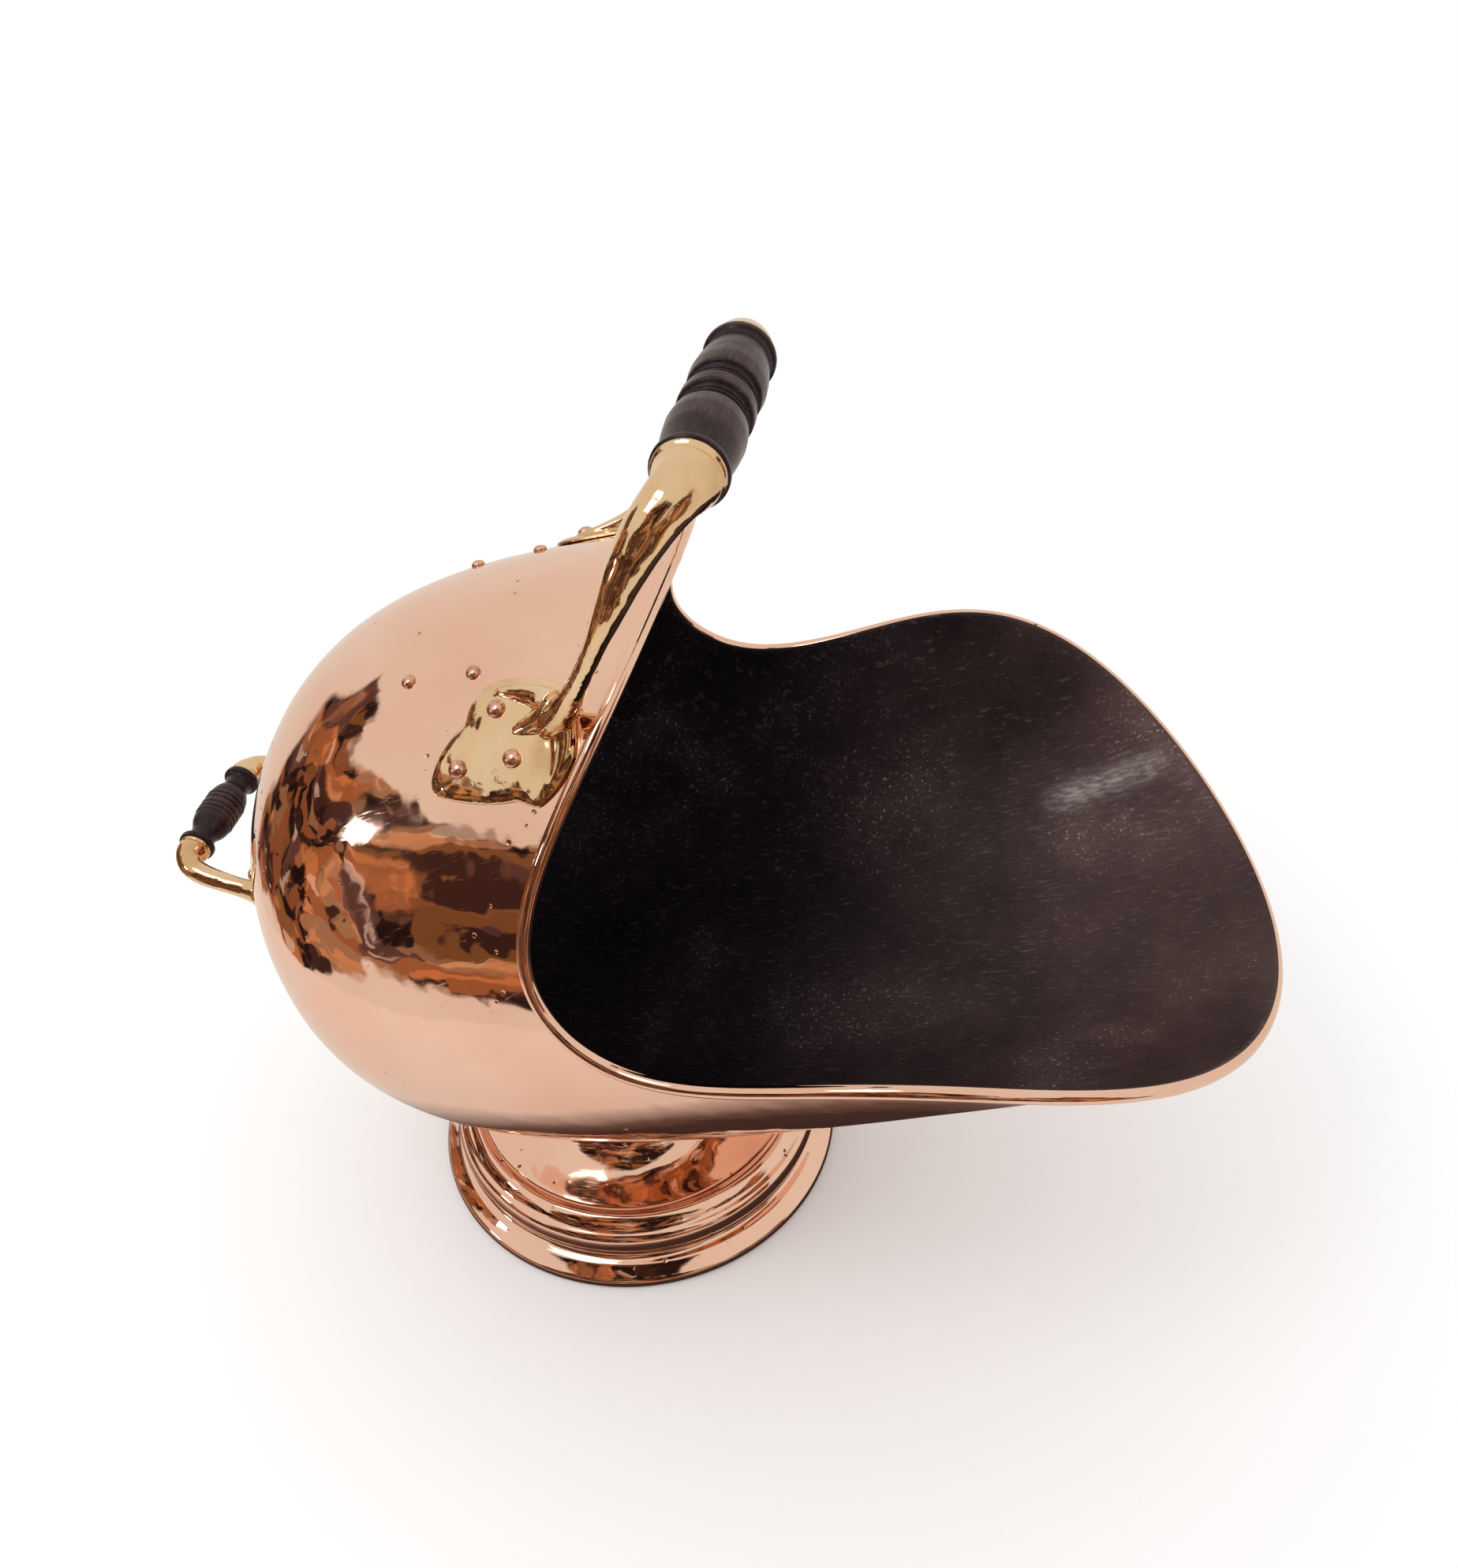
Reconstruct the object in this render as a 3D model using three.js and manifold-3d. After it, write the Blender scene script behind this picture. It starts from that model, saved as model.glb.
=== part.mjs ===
// Helmet coal scuttle: a raised copper body with a wired rim on a spun copper foot, two cast brass arms that
// carry a turned wooden grip, and a smaller brass and wood handle low on the back for tipping it.
// Millimetres, +Z up, +X towards the pouring lip. Lengths along X are counted from the foot's axis and heights
// from the floor; at the end the whole scuttle is slid so that its frame lies under the middle of its length.
import * as THREE from "three";
import { mergeVertices } from "three/addons/utils/BufferGeometryUtils.js";
import Module from "manifold-3d";

const wasm = await Module();
wasm.setup();

// ---------------------------------------------------------------- driving dimensions
const SHEET = 1.0; // copper sheet of the body and the foot
const SEAT_GAP = 0.3; // air left between two pieces that touch

// The helmet. Each curve runs from the round nose at the back and passes through its stations [x, value].
const BACK_X = -160.2; // rearmost point of the helmet
const BACK_Z = 198.6; // and its height
const HALF_WIDTHS = [[-120, 94.7], [0, 133.2], [130, 156.6], [302, 227.4]]; // half width at the beam
const KEEL_HEIGHTS = [[-120, 88.6], [0, 77.6], [130, 114.1], [302, 180.6]]; // underside on the middle line
const CROWN_HEIGHTS = [[-120, 296.1], [-60, 332.5], [46, 361.0]]; // top of the hood on the middle line
const BEAM_HEIGHTS = [[-120, 193.5], [46, 212.3], [200, 412.7]]; // where a section would be widest

// The rim as seen from the side: the hood's front edge, the waist, the cheeks and the lip.
const HOOD_X = 45.4; // hood's front edge on the middle line
const EDGE_BACK = [7.6, 262.4]; // where that edge is furthest back
const WAIST = [53, 220]; // lowest point of the side
const CHEEK = [166.5, 245.5]; // highest point of the side
const LIP_X = 302; // pouring lip on the middle line
const RIM_WIRE_RADIUS = 1.5; // iron wire inside the rolled rim
const ROLL_START = -90; // degrees round the wire where the sheet leaves the body
const ROLL_END = 205; // and where its cut edge ends

// The foot, from the floor up: [radius, height] of the points that its spun outline passes.
const FOOT_RADIUS = 106; // widest ring, at the floor
const FOOT_WIRE_RADIUS = 2.2; // iron wire inside the foot's rolled edge
const FOOT_FLAT = 0.25; // worn off the roll where it stands
const FOOT_STEP = [98.5, 10.6]; // fillet above the roll
const FOOT_COVE = [94.8, 16.4]; // foot of the torus
const FOOT_TORUS = [97, 22.0]; // fullest point of the torus
const FOOT_BAND = [92.6, 29.0]; // upper edge of the torus
const FOOT_RING = [85.8, 35.0]; // thin ring at the foot of the neck
const NECK_RADIUS = 55; // narrowest part of the neck
const NECK_Z = 62; // and its height
const NECK_FLANGE = 11; // width of the flange dressed to the belly

// The main handle.
const GRIP_LENGTH = 92;
const GRIP_RADIUS = 14.7; // end collars
const GRIP_AHEAD = 19.8; // grip axis ahead of the hood's front edge
const GRIP_ABOVE = 64.6; // grip axis above the crown at that edge
const ROD_RADIUS = 3; // iron rod through the grip
const ROD_SEAT = 9; // depth of the rod in each brass socket
const BELL_RADIUS = 13.7; // mouth of the arm's bell
const PALM_X = -5.3; // middle of the palm along the hood
const PALM_ANGLE = 34.1; // and degrees down from the crown
const PALM_EDGE = 1.6; // thickness of the palm at its edge
const PALM_THICK = 3.8; // and at its middle

// Rivets.
const PALM_RIVETS = [[-18.6, 9.8], [4.9, 5.0], [-5.9, -13.6]]; // along and across the palm
const PALM_RIVET_HEAD = 3.7;
const SMALL_RIVET_HEAD = 3.0;
const HOOD_RIVET_XS = [-56, -27]; // small rivets behind the palms
const HOOD_RIVET_ANGLE = 20.5; // degrees down from the crown
const RIVET_SHANK = 0.58; // shank, tail and dome as shares of the head's radius
const RIVET_TAIL = 0.85;
const RIVET_DOME = 0.75;
const DOUBLER = 1.2; // copper doubling plate inside the hood

// The rear handle.
const REAR_GRIP_LENGTH = 51;
const REAR_GRIP_RADIUS = 8.7; // end collars
const REAR_GRIP_BEHIND = 35; // grip axis behind the helmet's back
const REAR_GRIP_Z = 200.5;
const REAR_ROD_RADIUS = 2;
const REAR_ROD_SEAT = 7;
const REAR_FERRULE_RADIUS = 7.6; // mouth of the rear arm
const REAR_PALM_Y = 42; // palms either side of the middle
const REAR_PALM_Z = 191;
const REAR_PALM_HALF_HEIGHT = 21;
const REAR_PALM_HALF_WIDTH = 9;
const REAR_PALM_EDGE = 1.2;
const REAR_PALM_THICK = 2.8;
const REAR_RIVET_SPACING = 26;

// How finely the curved pieces are cut.
const RIM_STEPS = 60;
const BODY_RINGS = 12;
const ROLL_STEPS = 5;
const FOOT_SIDES = 32;
const FOOT_CURVE_STEPS = 2;
const ARM_SIDES = 12;
const REAR_ARM_SIDES = 10;
const ROD_SIDES = 12;
const GRIP_SIDES = 18;
const REAR_GRIP_SIDES = 14;
const RIVET_SIDES = 8;
const WIRE_SIDES = 6;

// ---------------------------------------------------------------- finishes
const finish = (color, roughness, metalness) => new THREE.MeshStandardMaterial({ color, roughness, metalness });
const copper = finish(0xd98b6a, 0.16, 1);
const brass = finish(0xd9b26a, 0.2, 1);
const ebonised = finish(0x2e2522, 0.45, 0);
const iron = finish(0x4a4643, 0.6, 1);

// ---------------------------------------------------------------- small tools
const V = (x, y, z) => new THREE.Vector3(x, y, z);
const radians = THREE.MathUtils.degToRad;

// A mesh's triangles from a point list, turned so that they face out.
function facingOut(points, triangles) {
  const volume = triangles.reduce(
    (sum, [a, b, c]) => sum + points[a].dot(points[b].clone().cross(points[c])),
    0,
  );
  const turned = volume < 0 ? triangles.map(([a, b, c]) => [a, c, b]) : triangles;
  const geometry = new THREE.BufferGeometry().setFromPoints(points);
  geometry.setIndex(turned.flat());
  return geometry;
}

// A skin through rings of equal length, closed by a point at each end, or joined end to end. Each patch between
// two rings is split along its shorter diagonal, so that mirrored and offset skins get matching faces.
function loft(rings, ends) {
  const sides = rings[0].length;
  const points = rings.flat();
  const triangles = [];
  const joined = ends === "joined";
  const spans = joined ? rings.length : rings.length - 1;
  for (let r = 0; r < spans; r++) {
    const next = (r + 1) % rings.length;
    for (let s = 0; s < sides; s++) {
      const t = (s + 1) % sides;
      const [a, b, c, d] = [r * sides + s, r * sides + t, next * sides + t, next * sides + s];
      if (points[a].distanceTo(points[c]) < points[b].distanceTo(points[d])) triangles.push([a, b, c], [a, c, d]);
      else triangles.push([a, b, d], [b, c, d]);
    }
  }
  if (!joined) {
    const first = points.push(ends[0]) - 1;
    const last = points.push(ends[1]) - 1;
    const base = (rings.length - 1) * sides;
    for (let s = 0; s < sides; s++) {
      const t = (s + 1) % sides;
      triangles.push([first, t, s], [last, base + s, base + t]);
    }
  }
  return facingOut(points, triangles);
}

const middleOf = (ring) => ring.reduce((sum, p) => sum.add(p), V(0, 0, 0)).divideScalar(ring.length);

function toSolid(geometry) {
  const bare = new THREE.BufferGeometry();
  bare.setAttribute("position", geometry.getAttribute("position").clone());
  if (geometry.index) bare.setIndex(geometry.index.clone());
  const merged = mergeVertices(bare, 1e-4);
  return new wasm.Manifold(
    new wasm.Mesh({
      numProp: 3,
      vertProperties: new Float32Array(merged.attributes.position.array),
      triVerts: new Uint32Array(merged.index.array),
    }),
  );
}

function toGeometry(solid) {
  const mesh = solid.getMesh();
  const geometry = new THREE.BufferGeometry();
  geometry.setAttribute("position", new THREE.BufferAttribute(mesh.vertProperties.slice(), 3));
  geometry.setIndex(new THREE.BufferAttribute(mesh.triVerts.slice(), 1));
  return geometry;
}

// The same piece on the other side of the middle line.
function mirrored(geometry) {
  const copy = geometry.clone().scale(1, -1, 1);
  const index = copy.index.array;
  for (let i = 0; i < index.length; i += 3) [index[i + 1], index[i + 2]] = [index[i + 2], index[i + 1]];
  return copy;
}

// A solid of revolution about Z from [radius, height] points that start and end on the axis or close on themselves.
function turned(outline, sides) {
  const ring = ([r, z]) =>
    Array.from({ length: sides }, (_, s) => {
      const angle = (s / sides) * 2 * Math.PI;
      return V(r * Math.cos(angle), r * Math.sin(angle), z);
    });
  if (outline[0][0] > 1e-6) return loft(outline.map(ring), "joined");
  const last = outline.length - 1;
  return loft(outline.slice(1, last).map(ring), [V(0, 0, outline[0][1]), V(0, 0, outline[last][1])]);
}

function place(geometry, origin, axis) {
  const turn = new THREE.Quaternion().setFromUnitVectors(V(0, 0, 1), axis.clone().normalize());
  return geometry.clone().applyQuaternion(turn).translate(origin.x, origin.y, origin.z);
}

// Points on an arc in the [radius, height] plane, angles in degrees from the outward direction.
function arc(centre, radius, from, to, steps) {
  return Array.from({ length: steps + 1 }, (_, i) => {
    const angle = radians(from + ((to - from) * i) / steps);
    return [centre[0] + radius * Math.cos(angle), centre[1] + radius * Math.sin(angle)];
  });
}

// ---------------------------------------------------------------- the helmet's form
// A curve that leaves the nose like the end of an egg: the square root rounds the nose, and the polynomial through
// the stations does the rest.
function roundNosed(stations, nose) {
  const shares = stations.map(([x, value]) => [x, (value - nose) / Math.sqrt(x - BACK_X)]);
  return (x) => {
    const blend = shares.reduce((sum, [xi, share], i) => {
      const weight = shares.reduce((w, [xj], j) => (j === i ? w : (w * (x - xj)) / (xi - xj)), 1);
      return sum + share * weight;
    }, 0);
    return nose + Math.sqrt(Math.max(x - BACK_X, 1e-6)) * blend;
  };
}
const halfWidth = roundNosed(HALF_WIDTHS, 0);
const keel = roundNosed(KEEL_HEIGHTS, BACK_Z);
const crown = roundNosed(CROWN_HEIGHTS, BACK_Z);
const beam = roundNosed(BEAM_HEIGHTS, BACK_Z);

// A cross-section is half an ellipse above the beam and half an ellipse below it. This is 0 on the outer face of
// the sheet, below 0 inside the helmet and above 0 outside.
function level(p) {
  if (p.x <= BACK_X) return 1 + BACK_X - p.x;
  const rise = p.z - beam(p.x);
  const reach = rise > 0 ? crown(Math.min(p.x, HOOD_X)) - beam(p.x) : beam(p.x) - keel(p.x);
  return Math.hypot(p.y / halfWidth(p.x), rise / Math.max(reach, 1)) - 1;
}

function outward(p) {
  const h = 0.05;
  const slope = (axis) => level(p.clone().addScaledVector(axis, h)) - level(p.clone().addScaledVector(axis, -h));
  return V(slope(V(1, 0, 0)), slope(V(0, 1, 0)), slope(V(0, 0, 1))).normalize();
}

// The point where a line from inside the helmet meets its outer face.
function onBody(from, direction, furthest = 450) {
  let near = 0;
  let far = furthest;
  for (let i = 0; i < 40; i++) {
    const middle = (near + far) / 2;
    if (level(from.clone().addScaledVector(direction, middle)) < 0) near = middle;
    else far = middle;
  }
  return from.clone().addScaledVector(direction, near);
}

function onHood(x, degrees, side = -1) {
  const angle = radians(degrees);
  return V(x, side * halfWidth(x) * Math.sin(angle), beam(x) + (crown(x) - beam(x)) * Math.cos(angle));
}

// ---------------------------------------------------------------- the rim line
const rimSideView = new THREE.Path();
rimSideView.moveTo(HOOD_X, crown(HOOD_X));
rimSideView.bezierCurveTo(
  HOOD_X - 21, crown(HOOD_X) - 43.5, EDGE_BACK[0], EDGE_BACK[1] + 26.5, EDGE_BACK[0], EDGE_BACK[1],
);
rimSideView.bezierCurveTo(
  EDGE_BACK[0], EDGE_BACK[1] - 23.5, WAIST[0] - 25.5, WAIST[1], WAIST[0], WAIST[1],
);
rimSideView.bezierCurveTo(WAIST[0] + 37, WAIST[1], CHEEK[0] - 42.5, CHEEK[1], CHEEK[0], CHEEK[1]);
rimSideView.bezierCurveTo(
  CHEEK[0] + 47.5, CHEEK[1], LIP_X - 42.5, keel(LIP_X) + 28.6, LIP_X, keel(LIP_X),
);

// The rim in space, evenly stepped: from the hood's top down the left side, round the lip and back up the right.
function rimLine(steps) {
  const dense = rimSideView.getPoints(80).map(({ x, y: z }) => {
    const rise = z - beam(x);
    const reach = rise > 0 ? crown(x) - beam(x) : beam(x) - keel(x);
    return V(x, halfWidth(x) * Math.sqrt(Math.max(0, 1 - (rise / reach) ** 2)), z);
  });
  const half = new THREE.CatmullRomCurve3(dense, false, "centripetal");
  half.arcLengthDivisions = 2000;
  const left = half.getSpacedPoints(steps / 2);
  left[0].y = 0;
  left[steps / 2].y = 0;
  const right = left.slice(1, -1).reverse().map((p) => V(p.x, -p.y, p.z));
  return [...left, ...right];
}
const rim = rimLine(RIM_STEPS);

// At each step the sheet's outward normal, and the direction in which the sheet runs off the edge.
const rimFrames = rim.map((point, i) => {
  const ahead = rim[(i + 1) % RIM_STEPS].clone().sub(rim[(i + RIM_STEPS - 1) % RIM_STEPS]).normalize();
  const normal = outward(point);
  normal.addScaledVector(ahead, -normal.dot(ahead)).normalize();
  return { point, normal, off: ahead.clone().cross(normal) };
});

// ---------------------------------------------------------------- body shell
const ROLL_INSIDE = RIM_WIRE_RADIUS + SEAT_GAP;
const ROLL_OUTSIDE = ROLL_INSIDE + SHEET;

// The hollow's middle, from which every meridian of the raising is laid out.
const heart = V(HOOD_X - 8, 0, BACK_Z + 38);
const pole = V(-0.85, 0, -0.53).normalize();

// Point of the meridian through a rim point: share 0 is the pole at the back of the belly, share 1 the rim.
function meridian(rimPoint, share) {
  const towards = rimPoint.clone().sub(heart).normalize();
  const span = pole.angleTo(towards);
  const direction = pole.clone().multiplyScalar(Math.sin((1 - share) * span))
    .addScaledVector(towards, Math.sin(share * span))
    .divideScalar(Math.sin(span));
  return onBody(heart, direction);
}

// The body's outer face as rings of points from the pole to the rim, and the same rings lifted off it.
const bodyTip = onBody(heart, pole);
const bodyRings = Array.from({ length: BODY_RINGS }, (_, r) => rim.map((p) => meridian(p, (r + 1) / BODY_RINGS)));
const lifted = (point, height) => point.clone().addScaledVector(outward(point), height);
const ringsAt = (height) => bodyRings.map((ring) => ring.map((point) => lifted(point, height)));

// All that lies inside a skin at a height over the outer face, out to the rim.
const within = (height) => toSolid(loft(ringsAt(height), [lifted(bodyTip, height), heart]));

function rollRing(radius, degrees) {
  const angle = radians(degrees);
  return rimFrames.map(({ point, normal, off }) =>
    point.clone()
      .addScaledVector(normal, ROLL_INSIDE + radius * Math.sin(angle))
      .addScaledVector(off, radius * Math.cos(angle)),
  );
}

function bodyShell() {
  const outer = ringsAt(0).slice(0, -1);
  const inner = ringsAt(-SHEET).slice(0, -1).reverse();
  const rollAngles = Array.from(
    { length: ROLL_STEPS + 1 },
    (_, i) => ROLL_START + ((ROLL_END - ROLL_START) * i) / ROLL_STEPS,
  );
  const roll = [
    ...rollAngles.map((angle) => rollRing(ROLL_INSIDE, angle)),
    ...rollAngles.reverse().map((angle) => rollRing(ROLL_OUTSIDE, angle)),
  ];
  return toSolid(loft([...outer, ...roll, ...inner], [bodyTip, lifted(bodyTip, -SHEET)]));
}

function rimWire() {
  const rings = rimFrames.map(({ point, normal, off }) =>
    Array.from({ length: WIRE_SIDES }, (_, s) => {
      const angle = (s / WIRE_SIDES) * 2 * Math.PI;
      return point.clone()
        .addScaledVector(normal, ROLL_INSIDE + RIM_WIRE_RADIUS * Math.sin(angle))
        .addScaledVector(off, RIM_WIRE_RADIUS * Math.cos(angle));
    }),
  );
  return loft(rings, "joined");
}

// ---------------------------------------------------------------- foot
const FOOT_ROLL_INSIDE = FOOT_WIRE_RADIUS + SEAT_GAP;
const FOOT_ROLL_OUTSIDE = FOOT_ROLL_INSIDE + SHEET;
const footRoll = [FOOT_RADIUS - FOOT_ROLL_OUTSIDE, FOOT_ROLL_OUTSIDE - FOOT_FLAT];
const footFlatAngle = THREE.MathUtils.radToDeg(Math.acos(footRoll[1] / FOOT_ROLL_OUTSIDE));

// The outer outline of the foot from the top of the roll to the neck.
function footOutline() {
  const path = new THREE.Path();
  path.moveTo(...FOOT_STEP);
  path.lineTo(FOOT_COVE[0] + 1.5, FOOT_STEP[1] + 1);
  path.quadraticCurveTo(FOOT_COVE[0] - 1, FOOT_COVE[1] - 2.5, ...FOOT_COVE);
  path.quadraticCurveTo(FOOT_TORUS[0] + 0.8, FOOT_COVE[1] + 1, ...FOOT_TORUS);
  path.quadraticCurveTo(FOOT_TORUS[0], FOOT_BAND[1] - 1, ...FOOT_BAND);
  path.lineTo(...FOOT_RING);
  path.lineTo(FOOT_RING[0] - 2, FOOT_RING[1] - 0.4);
  path.bezierCurveTo(
    FOOT_RING[0] - 9, FOOT_RING[1] + 3, NECK_RADIUS + 2, NECK_Z - 17, NECK_RADIUS, NECK_Z - 4,
  );
  return path.getPoints(FOOT_CURVE_STEPS).map((p) => [p.x, p.y]);
}

// The same outline one sheet further in.
function insetBySheet(outline) {
  return outline.map(([r, z], i) => {
    const [r0, z0] = outline[Math.max(i - 1, 0)];
    const [r1, z1] = outline[Math.min(i + 1, outline.length - 1)];
    const length = Math.hypot(r1 - r0, z1 - z0);
    return [r - (SHEET * (z1 - z0)) / length, z + (SHEET * (r1 - r0)) / length];
  });
}

// Spun on a lathe; its edge is rolled round a wire and its upper flange is dressed to the belly.
function foot() {
  const outside = footOutline();
  const rollOutside = [
    ...arc(footRoll, FOOT_ROLL_OUTSIDE, -215, -90 - footFlatAngle, 3),
    ...arc(footRoll, FOOT_ROLL_OUTSIDE, -90 + footFlatAngle, 60, 4),
  ];
  const rollInside = arc(footRoll, FOOT_ROLL_INSIDE, 60, -215, 6);
  const flangeOutside = NECK_RADIUS + NECK_FLANGE;
  const underBelly = (depth) => (belly) => belly - SEAT_GAP - depth;
  const outline = [
    ...rollOutside,
    ...outside,
    [NECK_RADIUS + 3, underBelly(SHEET)],
    [flangeOutside, underBelly(SHEET)],
    [flangeOutside, underBelly(0)],
    [NECK_RADIUS + 2, underBelly(0)],
    ...insetBySheet(outside).reverse(),
    ...rollInside,
  ];
  const rings = outline.map(([r, z]) =>
    Array.from({ length: FOOT_SIDES }, (_, s) => {
      const angle = (s / FOOT_SIDES) * 2 * Math.PI;
      const [x, y] = [r * Math.cos(angle), r * Math.sin(angle)];
      if (typeof z === "number") return V(x, y, z);
      return V(x, y, z(onBody(V(x, y, beam(x)), V(0, 0, -1)).z));
    }),
  );
  return loft(rings, "joined");
}

// ---------------------------------------------------------------- pieces seated on the body
// A seat is a place on the body's outer face with its own directions: out of the sheet, along, and across.
function seatAt(point, towards) {
  const out = outward(point);
  const along = towards.clone().addScaledVector(out, -towards.dot(out)).normalize();
  return { point, out, along, across: along.clone().cross(out) };
}

// The point at [along, across] in the seat's plane, and the body's outer face square under it.
const inSeat = (seat, [a, b], above = 0) =>
  seat.point.clone().addScaledVector(seat.along, a).addScaledVector(seat.across, b).addScaledVector(seat.out, above);
const underSeat = (seat, ab) => onBody(inSeat(seat, ab, -SEAT_REACH), seat.out, 2 * SEAT_REACH);
const SEAT_REACH = 16; // further than the body curves away under any seated piece

// A cast leaf that lies on the body. Its outline draws in towards its middle as it rises through the heights.
function castLeaf(seat, outline, edge, middle) {
  const root = -SEAT_GAP - SHEET;
  const rise = (share) => SEAT_GAP + edge + (middle - edge) * share;
  const layers = [[1, root], [1, rise(0)], [0.95, rise(0.4)], [0.82, rise(0.7)], [0.5, rise(0.95)]];
  const rings = layers.map(([size, height]) =>
    outline.map(({ x, y }) => lifted(underSeat(seat, [x * size, y * size]), height)),
  );
  return toSolid(loft(rings, [lifted(seat.point, root), lifted(seat.point, rise(1))])).subtract(within(SEAT_GAP));
}

// A patch of sheet whose upper face lies at a height over the body's outer face, cut to an outline in the seat.
function sheetPatch(seat, outline, height, thickness) {
  const cutter = new THREE.ExtrudeGeometry(new THREE.Shape(outline), { depth: 2 * SEAT_REACH, bevelEnabled: false });
  cutter.translate(0, 0, -SEAT_REACH);
  cutter.applyMatrix4(new THREE.Matrix4().makeBasis(seat.along, seat.across, seat.out.clone().negate()));
  cutter.translate(seat.point.x, seat.point.y, seat.point.z);
  return within(height).subtract(within(height - thickness)).intersect(toSolid(cutter));
}

// A round bar along a path, drawn down to radii that are spread evenly over its length.
function drawnBar(path, radii, sides) {
  const steps = radii.length - 1;
  const { normals, binormals } = path.computeFrenetFrames(steps);
  const rings = radii.map((radius, i) =>
    Array.from({ length: sides }, (_, k) => {
      const angle = (k / sides) * 2 * Math.PI;
      return path.getPointAt(i / steps)
        .addScaledVector(normals[i], radius * Math.cos(angle))
        .addScaledVector(binormals[i], radius * Math.sin(angle));
    }),
  );
  return toSolid(loft(rings, [middleOf(rings[0]), middleOf(rings[steps])]));
}

const rod = (radius, from, axis, length, sides) =>
  place(turned([[0, 0], [radius, 0], [radius, length], [0, length]], sides), from, axis);

// A bore for a rod, sunk from a mouth along an axis.
const bore = (rodRadius, mouth, axis, depth) =>
  toSolid(rod(rodRadius + SEAT_GAP, mouth.clone().addScaledVector(axis, -1), axis, depth + 1, ROD_SIDES));

// ---------------------------------------------------------------- rivets
// The lowest and highest that a solid reaches along an axis, within a radius round it.
function reachAlong(solid, point, axis, radius) {
  const from = point.clone().addScaledVector(axis, -SEAT_REACH);
  const core = solid.intersect(toSolid(rod(radius, from, axis, 2 * SEAT_REACH, RIVET_SIDES)));
  const { vertProperties } = core.getMesh();
  const heights = [];
  for (let i = 0; i < vertProperties.length; i += 3) {
    heights.push(V(...vertProperties.subarray(i, i + 3)).sub(point).dot(axis));
  }
  return [Math.min(...heights), Math.max(...heights)];
}

// A rivet square to the body that clamps the layers it passes through, and the hole for it.
function rivet(seat, ab, head, layers) {
  const point = underSeat(seat, ab);
  const axis = outward(point);
  const reaches = layers.map((layer) => reachAlong(layer, point, axis, head));
  const top = Math.max(...reaches.map(([, high]) => high)) + SEAT_GAP;
  const bottom = Math.min(...reaches.map(([low]) => low)) - SEAT_GAP;
  const shank = head * RIVET_SHANK;
  const tail = head * RIVET_TAIL;
  const outline = [
    ...arc([0, 0], 1, 90, 0, 2).map(([r, z]) => [r * head, top + z * head * RIVET_DOME]),
    [shank, top],
    [shank, bottom],
    [tail, bottom],
    [0, bottom - tail * 0.5],
  ];
  const from = point.clone().addScaledVector(axis, bottom);
  return {
    geometry: place(turned(outline, RIVET_SIDES), point, axis),
    hole: toSolid(rod(shank + SEAT_GAP, from, axis, top - bottom, RIVET_SIDES)),
  };
}
const drilled = (solid, rivets) => rivets.reduce((rest, { hole }) => rest.subtract(hole), solid);

// ---------------------------------------------------------------- main handle
const gripAxis = V(HOOD_X + GRIP_AHEAD, 0, crown(HOOD_X) + GRIP_ABOVE);
const palmSeat = seatAt(onHood(PALM_X, PALM_ANGLE), V(1, 0, 0));
const shell = bodyShell();

// The palm is a leaf with a lobe round each rivet and a small notch beside the arm's root.
function palmOutline() {
  const shape = new THREE.Shape();
  shape.moveTo(-32, 15);
  shape.bezierCurveTo(-31, 4, -25, -3, -20, -8.5);
  shape.bezierCurveTo(-21, -19, -14, -27, -3, -27);
  shape.bezierCurveTo(6, -27.5, 14, -27.5, 19, -24);
  shape.bezierCurveTo(27, -18, 30, -7, 29.5, 3);
  shape.bezierCurveTo(28, 11, 22, 19, 16, 22.5);
  shape.bezierCurveTo(12, 22, 9, 20.5, 6, 20.5);
  shape.bezierCurveTo(-6, 23.5, -22, 22.5, -29, 20);
  shape.closePath();
  return shape.getPoints(3).slice(0, -1);
}

// A doubling plate inside the hood spreads the handle's pull over the palm's rivets and two of its own.
function doublerOutline() {
  const shape = new THREE.Shape();
  shape.moveTo(-61, -27);
  shape.bezierCurveTo(-56, -36, -36, -42, -22, -40);
  shape.bezierCurveTo(-6, -36, 10, -14, 14, 4);
  shape.bezierCurveTo(16, 16, -8, 20, -24, 19);
  shape.bezierCurveTo(-34, 17, -60, -12, -61, -27);
  return shape.getPoints(3).slice(0, -1);
}

const palm = castLeaf(palmSeat, palmOutline(), PALM_EDGE, PALM_THICK);
const doubler = sheetPatch(palmSeat, doublerOutline(), -SHEET - SEAT_GAP, DOUBLER);
const palmRivets = PALM_RIVETS.map((ab) => rivet(palmSeat, ab, PALM_RIVET_HEAD, [palm, shell, doubler]));
const hoodRivets = HOOD_RIVET_XS.map((x) =>
  rivet(seatAt(onHood(x, HOOD_RIVET_ANGLE), V(1, 0, 0)), [0, 0], SMALL_RIVET_HEAD, [shell, doubler]),
);

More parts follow.
